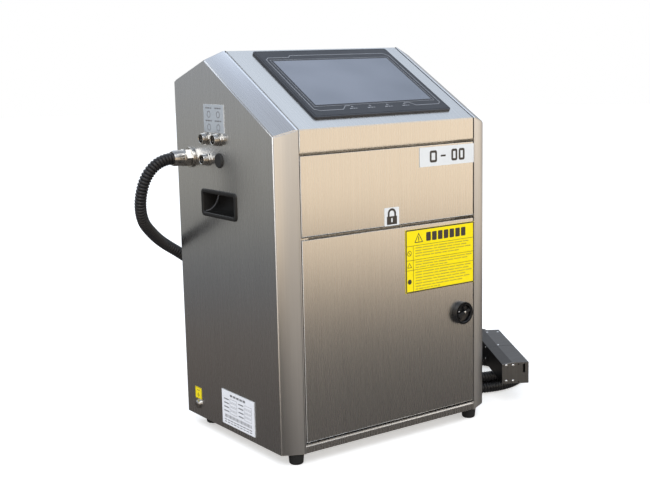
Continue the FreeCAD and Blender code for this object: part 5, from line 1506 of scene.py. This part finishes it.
@dataclass
class Hose:
    """Corrugated conduit from the gland, over the floor, round a coil and into the head."""

    diameter: float = 0.017
    pitch: float = 0.0046
    valley: float = 0.0069
    crest: float = 0.0085
    segments: int = 18
    coil_x: float = 0.290
    coil_y: float = 0.042
    low: float = 0.0086

    def _around(self, radius: float, degrees: float, level: float) -> Point:
        """Point of the coil at a radius, a bearing and a level."""
        angle = math.radians(degrees)
        return (self.coil_x + radius * math.cos(angle), self.coil_y + radius * math.sin(angle),
                level)

    def _route(self) -> list[Point]:
        """Points that the hose follows, from the gland to the head.

        Returns:
            The points in order.
        """
        lead = [(-0.2080, 0.0945, 0.3987), (-0.2270, 0.0946, 0.3986),
                (-0.2500, 0.0982, 0.3780), (-0.2580, 0.1050, 0.3430),
                (-0.2485, 0.1195, 0.3115), (-0.2250, 0.1410, 0.2905),
                (-0.1980, 0.1610, 0.2700), (-0.1600, 0.1670, 0.2460),
                (-0.1120, 0.1690, 0.2080), (-0.0620, 0.1680, 0.1580),
                (-0.0140, 0.1670, 0.1040), (0.0340, 0.1660, 0.0540),
                (0.0860, 0.1650, 0.0220), (0.1400, 0.1640, 0.0100),
                (0.1900, 0.1590, 0.0200), (0.2320, 0.1480, 0.0295),
                (0.2640, 0.1360, 0.0285)]
        top = [self._around(0.0865, 90.0 - 15.0 * n, self._top_level(90.0 - 15.0 * n))
               for n in range(0, 20)]
        drop = []
        for n in range(1, 5):
            swing = math.radians(60.0 * (1.0 - n / 4))
            drop.append(self._around(0.0950 - 0.0170 * math.cos(swing),
                                     -195.0 - 75.0 * n / 4,
                                     self.low + 0.0170 * math.sin(swing)))
        inner = [self._around(0.0780, -270.0 - 15.0 * n, self.low) for n in range(1, 17)]
        across = [self._around(0.0780 + 0.0170 * n / 4, -510.0 - 60.0 * n / 4, self.low)
                  for n in range(1, 5)]
        outer = [self._around(0.0950, -570.0 - 15.0 * n, self.low) for n in range(1, 20)]
        away = [self._around(0.0950 + 0.0170 * n / 4, -855.0 - 75.0 * n / 4, self.low)
                for n in range(1, 5)]
        tail = [(0.2120, 0.1320, 0.0086), (0.2450, 0.1640, 0.0086), (0.2970, 0.1838, 0.0095),
                (0.3470, 0.1780, 0.0200), (0.3765, 0.1410, 0.0380), (0.3770, 0.1040, 0.0500),
                (0.3640, 0.0734, 0.0535)]
        return lead + top + drop + inner + across + outer + away + tail

    @staticmethod
    def _top_level(degrees: float) -> float:
        """Level of the upper turn, a little higher where it crosses the lower ones."""
        cross = math.exp(-((degrees + 185.0) / 22.0) ** 2)
        return 0.0233 + 0.0024 * cross

    def _centreline(self) -> list[Vector]:
        """Evenly spaced points along one smooth curve through the route.

        Returns:
            Points a fraction of a rib apart.
        """
        data = bpy.data.curves.new("hose_line", "CURVE")
        data.dimensions = "3D"
        data.resolution_u = 24
        route = self._route()
        spline = data.splines.new("NURBS")
        spline.points.add(len(route) - 1)
        for knot, place in zip(spline.points, route):
            knot.co = (*place, 1.0)
        spline.order_u = 3
        spline.use_endpoint_u = True
        carrier = bpy.data.objects.new("hose_line", data)
        bpy.context.scene.collection.objects.link(carrier)
        bpy.context.view_layer.update()
        mesh = bpy.data.meshes.new_from_object(carrier)
        points = [vertex.co.copy() for vertex in mesh.vertices]
        bpy.data.meshes.remove(mesh)
        bpy.data.objects.remove(carrier)
        return self._resample(points, self.pitch / 6)

    @staticmethod
    def _resample(points: list[Vector], step: float) -> list[Vector]:
        """Points at an even step along a line.

        Args:
            points: The line.
            step: Distance between the results.

        Returns:
            The evenly spaced points.
        """
        total = sum((b - a).length for a, b in zip(points, points[1:]))
        count = round(total / step)
        step = total / count
        result, travelled, target = [points[0].copy()], 0.0, step
        for a, b in zip(points, points[1:]):
            run = (b - a).length
            while run > 0 and target <= travelled + run + 1e-12 and len(result) < count:
                result.append(a.lerp(b, (target - travelled) / run))
                target += step
            travelled += run
        result.append(points[-1].copy())
        return result

    def _rib(self, index: int) -> float:
        """Radius of the ribbed wall at a step."""
        phase = index % 6
        return (self.valley, self.crest - 0.0006, self.crest - 0.0001, self.crest,
                self.crest - 0.0001, self.crest - 0.0006)[phase]

    def build(self) -> None:
        line = self._centreline()
        work = bmesh.new()
        normal = Vector((0.0, 0.0, 1.0))
        rings = []
        for index, here in enumerate(line):
            ahead = line[min(index + 1, len(line) - 1)] - line[max(index - 1, 0)]
            ahead.normalize()
            normal = (normal - ahead * normal.dot(ahead)).normalized()
            other = ahead.cross(normal)
            radius = self._rib(index)
            rings.append([work.verts.new(
                here + radius * (normal * math.cos(2 * math.pi * n / self.segments)
                                 + other * math.sin(2 * math.pi * n / self.segments)))
                for n in range(self.segments)])
        for low, high in zip(rings, rings[1:]):
            for n in range(self.segments):
                m = (n + 1) % self.segments
                work.faces.new((low[n], low[m], high[m], high[n]))
        work.faces.new(rings[0])
        work.faces.new(list(reversed(rings[-1])))
        hose = add_piece("umbilical_hose", work, "cabinet", HOSE_PLASTIC, 60.0)
        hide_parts("hose_lead", "hose_coil", "hose_tail")


# ------------------------------------------------------------------ stage


@dataclass
class Studio:
    """Camera, floor, sky and soft lights."""

    camera_at: Point = (-0.9534, -1.3247, 0.5439)
    yaw: float = math.radians(-35.23)
    pitch: float = math.radians(10.0)
    roll: float = math.radians(-1.27)
    lens: float = 62.85

    def build_camera(self) -> None:
        """Make the camera and set it as the scene's."""
        data = bpy.data.cameras.new("camera")
        data.lens = self.lens
        data.sensor_width = 36.0
        data.clip_start, data.clip_end = 0.05, 50.0
        camera = bpy.data.objects.new("camera", data)
        bpy.context.scene.collection.objects.link(camera)
        right = Vector((math.cos(self.yaw), math.sin(self.yaw), 0.0))
        level = Vector((-math.sin(self.yaw), math.cos(self.yaw), 0.0))
        up = Vector((0.0, 0.0, 1.0))
        ahead = level * math.cos(self.pitch) - up * math.sin(self.pitch)
        above = up * math.cos(self.pitch) + level * math.sin(self.pitch)
        x_axis = right * math.cos(self.roll) + above * math.sin(self.roll)
        y_axis = above * math.cos(self.roll) - right * math.sin(self.roll)
        turn = Matrix((x_axis, y_axis, -ahead)).transposed().to_4x4()
        camera.matrix_world = Matrix.Translation(self.camera_at) @ turn
        bpy.context.scene.camera = camera

    def build_floor(self) -> None:
        """Plain pale floor that the polished sheets see as a warm ground."""
        work = bmesh.new()
        bmesh.ops.create_circle(work, cap_ends=True, radius=9.0, segments=64)
        mesh = bpy.data.meshes.new("floor")
        work.to_mesh(mesh)
        work.free()
        floor = bpy.data.objects.new("floor", mesh)
        bpy.context.scene.collection.objects.link(floor)
        graph = NodeGraph("floor_finish")
        graph.shader.inputs["Base Color"].default_value = (0.93, 0.925, 0.915, 1.0)
        graph.shader.inputs["Emission Color"].default_value = (1.0, 0.99, 0.97, 1.0)
        graph.shader.inputs["Emission Strength"].default_value = 0.50
        graph.shader.inputs["Roughness"].default_value = 0.9
        graph.shader.inputs["Specular IOR Level"].default_value = 0.0
        self._ground_reflection(graph)
        mesh.materials.append(graph.material)

    def _ground_reflection(self, graph: NodeGraph) -> None:
        """Give polished surfaces a darker ground near the cabinet and a warm one further off."""
        place = graph.add("ShaderNodeTexCoord")
        length = graph.add("ShaderNodeVectorMath", operation="LENGTH")
        graph.join(place.outputs["Object"], length.inputs[0])
        far = graph.add("ShaderNodeValToRGB")
        graph.join(graph.spread(length.outputs["Value"], 0.0, 1.0, 0.1, 3.0),
                   far.inputs["Fac"])
        stops = far.color_ramp.elements
        stops[0].position, stops[0].color = 0.0, (0.075, 0.072, 0.070, 1.0)
        stops[1].position, stops[1].color = 1.0, (1.22, 1.00, 0.75, 1.0)
        for position, colour in ((0.22, (0.125, 0.118, 0.112)), (0.38, (0.30, 0.255, 0.215)),
                                 (0.48, (0.55, 0.45, 0.35)), (0.60, (1.02, 0.82, 0.60)),
                                 (0.78, (1.14, 0.93, 0.68))):
            stop = stops.new(position)
            stop.color = (*colour, 1.0)
        split = graph.add("ShaderNodeSeparateXYZ")
        graph.join(place.outputs["Object"], split.inputs["Vector"])
        behind = graph.spread(split.outputs["Y"], 0.0, 1.0, -0.5, 0.8)
        rear = graph.add("ShaderNodeValToRGB")
        graph.join(graph.spread(length.outputs["Value"], 0.0, 1.0, 0.1, 3.0),
                   rear.inputs["Fac"])
        marks = rear.color_ramp.elements
        marks[0].position, marks[0].color = 0.0, (0.09, 0.075, 0.068, 1.0)
        marks[1].position, marks[1].color = 1.0, (0.34, 0.33, 0.30, 1.0)
        for position, colour in ((0.20, (0.13, 0.112, 0.10)), (0.42, (0.12, 0.13, 0.145)),
                                 (0.70, (0.22, 0.22, 0.21))):
            stop = marks.new(position)
            stop.color = (*colour, 1.0)
        mix = graph.add("ShaderNodeMix", data_type="RGBA")
        graph.join(behind, mix.inputs["Factor"])
        graph.join(far.outputs["Color"], mix.inputs["A"])
        graph.join(rear.outputs["Color"], mix.inputs["B"])
        glow = graph.add("ShaderNodeEmission")
        graph.join(mix.outputs["Result"], glow.inputs["Color"])
        path = graph.add("ShaderNodeLightPath")
        choose = graph.add("ShaderNodeMixShader")
        graph.join(path.outputs["Is Glossy Ray"], choose.inputs["Fac"])
        graph.join(graph.shader.outputs["BSDF"], choose.inputs[1])
        graph.join(glow.outputs["Emission"], choose.inputs[2])
        output = graph.tree.nodes["Material Output"]
        graph.join(choose.outputs["Shader"], output.inputs["Surface"])

    def build_sky(self) -> None:
        """Pale sky: white to the eye, warm low down and cool overhead in reflections."""
        world = bpy.data.worlds.new("sky")
        bpy.context.scene.world = world
        world.use_nodes = True
        tree = world.node_tree
        tree.nodes.clear()
        place = tree.nodes.new("ShaderNodeTexCoord")
        split = tree.nodes.new("ShaderNodeSeparateXYZ")
        tree.links.new(place.outputs["Generated"], split.inputs["Vector"])
        ramp = tree.nodes.new("ShaderNodeValToRGB")
        tree.links.new(split.outputs["Z"], ramp.inputs["Fac"])
        stops = ramp.color_ramp.elements
        stops[0].position, stops[0].color = 0.0, (0.92, 0.74, 0.54, 1.0)
        stops[1].position, stops[1].color = 1.0, (0.42, 0.46, 0.54, 1.0)
        for position, colour in ((0.12, (1.15, 0.98, 0.78)), (0.40, (0.74, 0.78, 0.84)),
                                 (0.70, (0.60, 0.69, 0.83)), (0.745, (0.84, 0.95, 1.12)),
                                 (0.80, (1.05, 1.15, 1.28)), (0.88, (0.55, 0.62, 0.74))):
            stop = stops.new(position)
            stop.color = (*colour, 1.0)
        seen = tree.nodes.new("ShaderNodeBackground")
        seen.inputs["Color"].default_value = (1.0, 1.0, 1.0, 1.0)
        seen.inputs["Strength"].default_value = 1.0
        dim = tree.nodes.new("ShaderNodeMapRange")
        for key, number in (("From Min", -0.3), ("From Max", 0.5), ("To Min", 0.0),
                            ("To Max", 1.0)):
            dim.inputs[key].default_value = number
        tree.links.new(split.outputs["Y"], dim.inputs["Value"])
        low = tree.nodes.new("ShaderNodeMapRange")
        for key, number in (("From Min", 0.20), ("From Max", 0.55), ("To Min", 1.0),
                            ("To Max", 0.0)):
            low.inputs[key].default_value = number
        tree.links.new(split.outputs["Z"], low.inputs["Value"])
        both = tree.nodes.new("ShaderNodeMath")
        both.operation = "MULTIPLY"
        tree.links.new(dim.outputs["Result"], both.inputs[0])
        tree.links.new(low.outputs["Result"], both.inputs[1])
        behind = tree.nodes.new("ShaderNodeMix")
        behind.data_type = "RGBA"
        behind.inputs["B"].default_value = (0.36, 0.38, 0.41, 1.0)
        tree.links.new(both.outputs["Value"], behind.inputs["Factor"])
        tree.links.new(ramp.outputs["Color"], behind.inputs["A"])
        felt = tree.nodes.new("ShaderNodeBackground")
        felt.inputs["Strength"].default_value = 1.0
        tree.links.new(behind.outputs["Result"], felt.inputs["Color"])
        path = tree.nodes.new("ShaderNodeLightPath")
        choose = tree.nodes.new("ShaderNodeMixShader")
        tree.links.new(path.outputs["Is Camera Ray"], choose.inputs["Fac"])
        tree.links.new(felt.outputs["Background"], choose.inputs[1])
        tree.links.new(seen.outputs["Background"], choose.inputs[2])
        output = tree.nodes.new("ShaderNodeOutputWorld")
        tree.links.new(choose.outputs["Shader"], output.inputs["Surface"])

    def build_lights(self) -> None:
        """Three large soft lights."""
        for name, place, target, size, power, colour in (
                ("key", (-1.6, -1.9, 2.6), (0.0, 0.0, 0.3), 2.2, 30.0, (1.0, 0.97, 0.93)),
                ("fill", (2.4, -1.6, 1.6), (0.1, 0.0, 0.25), 2.4, 14.0, (1.0, 0.97, 0.94)),
                ("back", (-0.9, 2.4, 1.9), (0.0, 0.0, 0.3), 2.2, 12.0, (0.94, 0.97, 1.0))):
            data = bpy.data.lights.new(name, "AREA")
            data.shape = "DISK"
            data.size = size
            data.energy = power
            data.color = colour
            lamp = bpy.data.objects.new(name, data)
            bpy.context.scene.collection.objects.link(lamp)
            lamp.location = place
            aim = Vector(target) - Vector(place)
            lamp.rotation_euler = aim.to_track_quat("-Z", "Y").to_euler()

    def build(self) -> None:
        """Build the stage."""
        self.build_camera()
        self.build_floor()
        self.build_sky()
        self.build_lights()
        bpy.context.scene.view_settings.view_transform = "Standard"


# ------------------------------------------------------------------ main


def main() -> None:
    """Build every sub-assembly in order."""
    Studio().build()
    Hose().build()
    Dressing().build()
    Display().build()
    Labels().build()
    grip = GripCup()
    grip.build("left_handle_cup", left_plane(grip.back, grip.level))
    grip.build("right_handle_cup", right_plane(grip.back, grip.level))
    for index, (back, level) in enumerate(((0.0468, 0.4273), (0.0145, 0.4273),
                                           (0.0468, 0.3987)), start=1):
        SignalSocket(back, level).build("signal_socket_%d" % index)
    SmallFixings().build()
    DoorLatch().build()
    PrintHead().build()


if __name__ == "__main__":
    main()
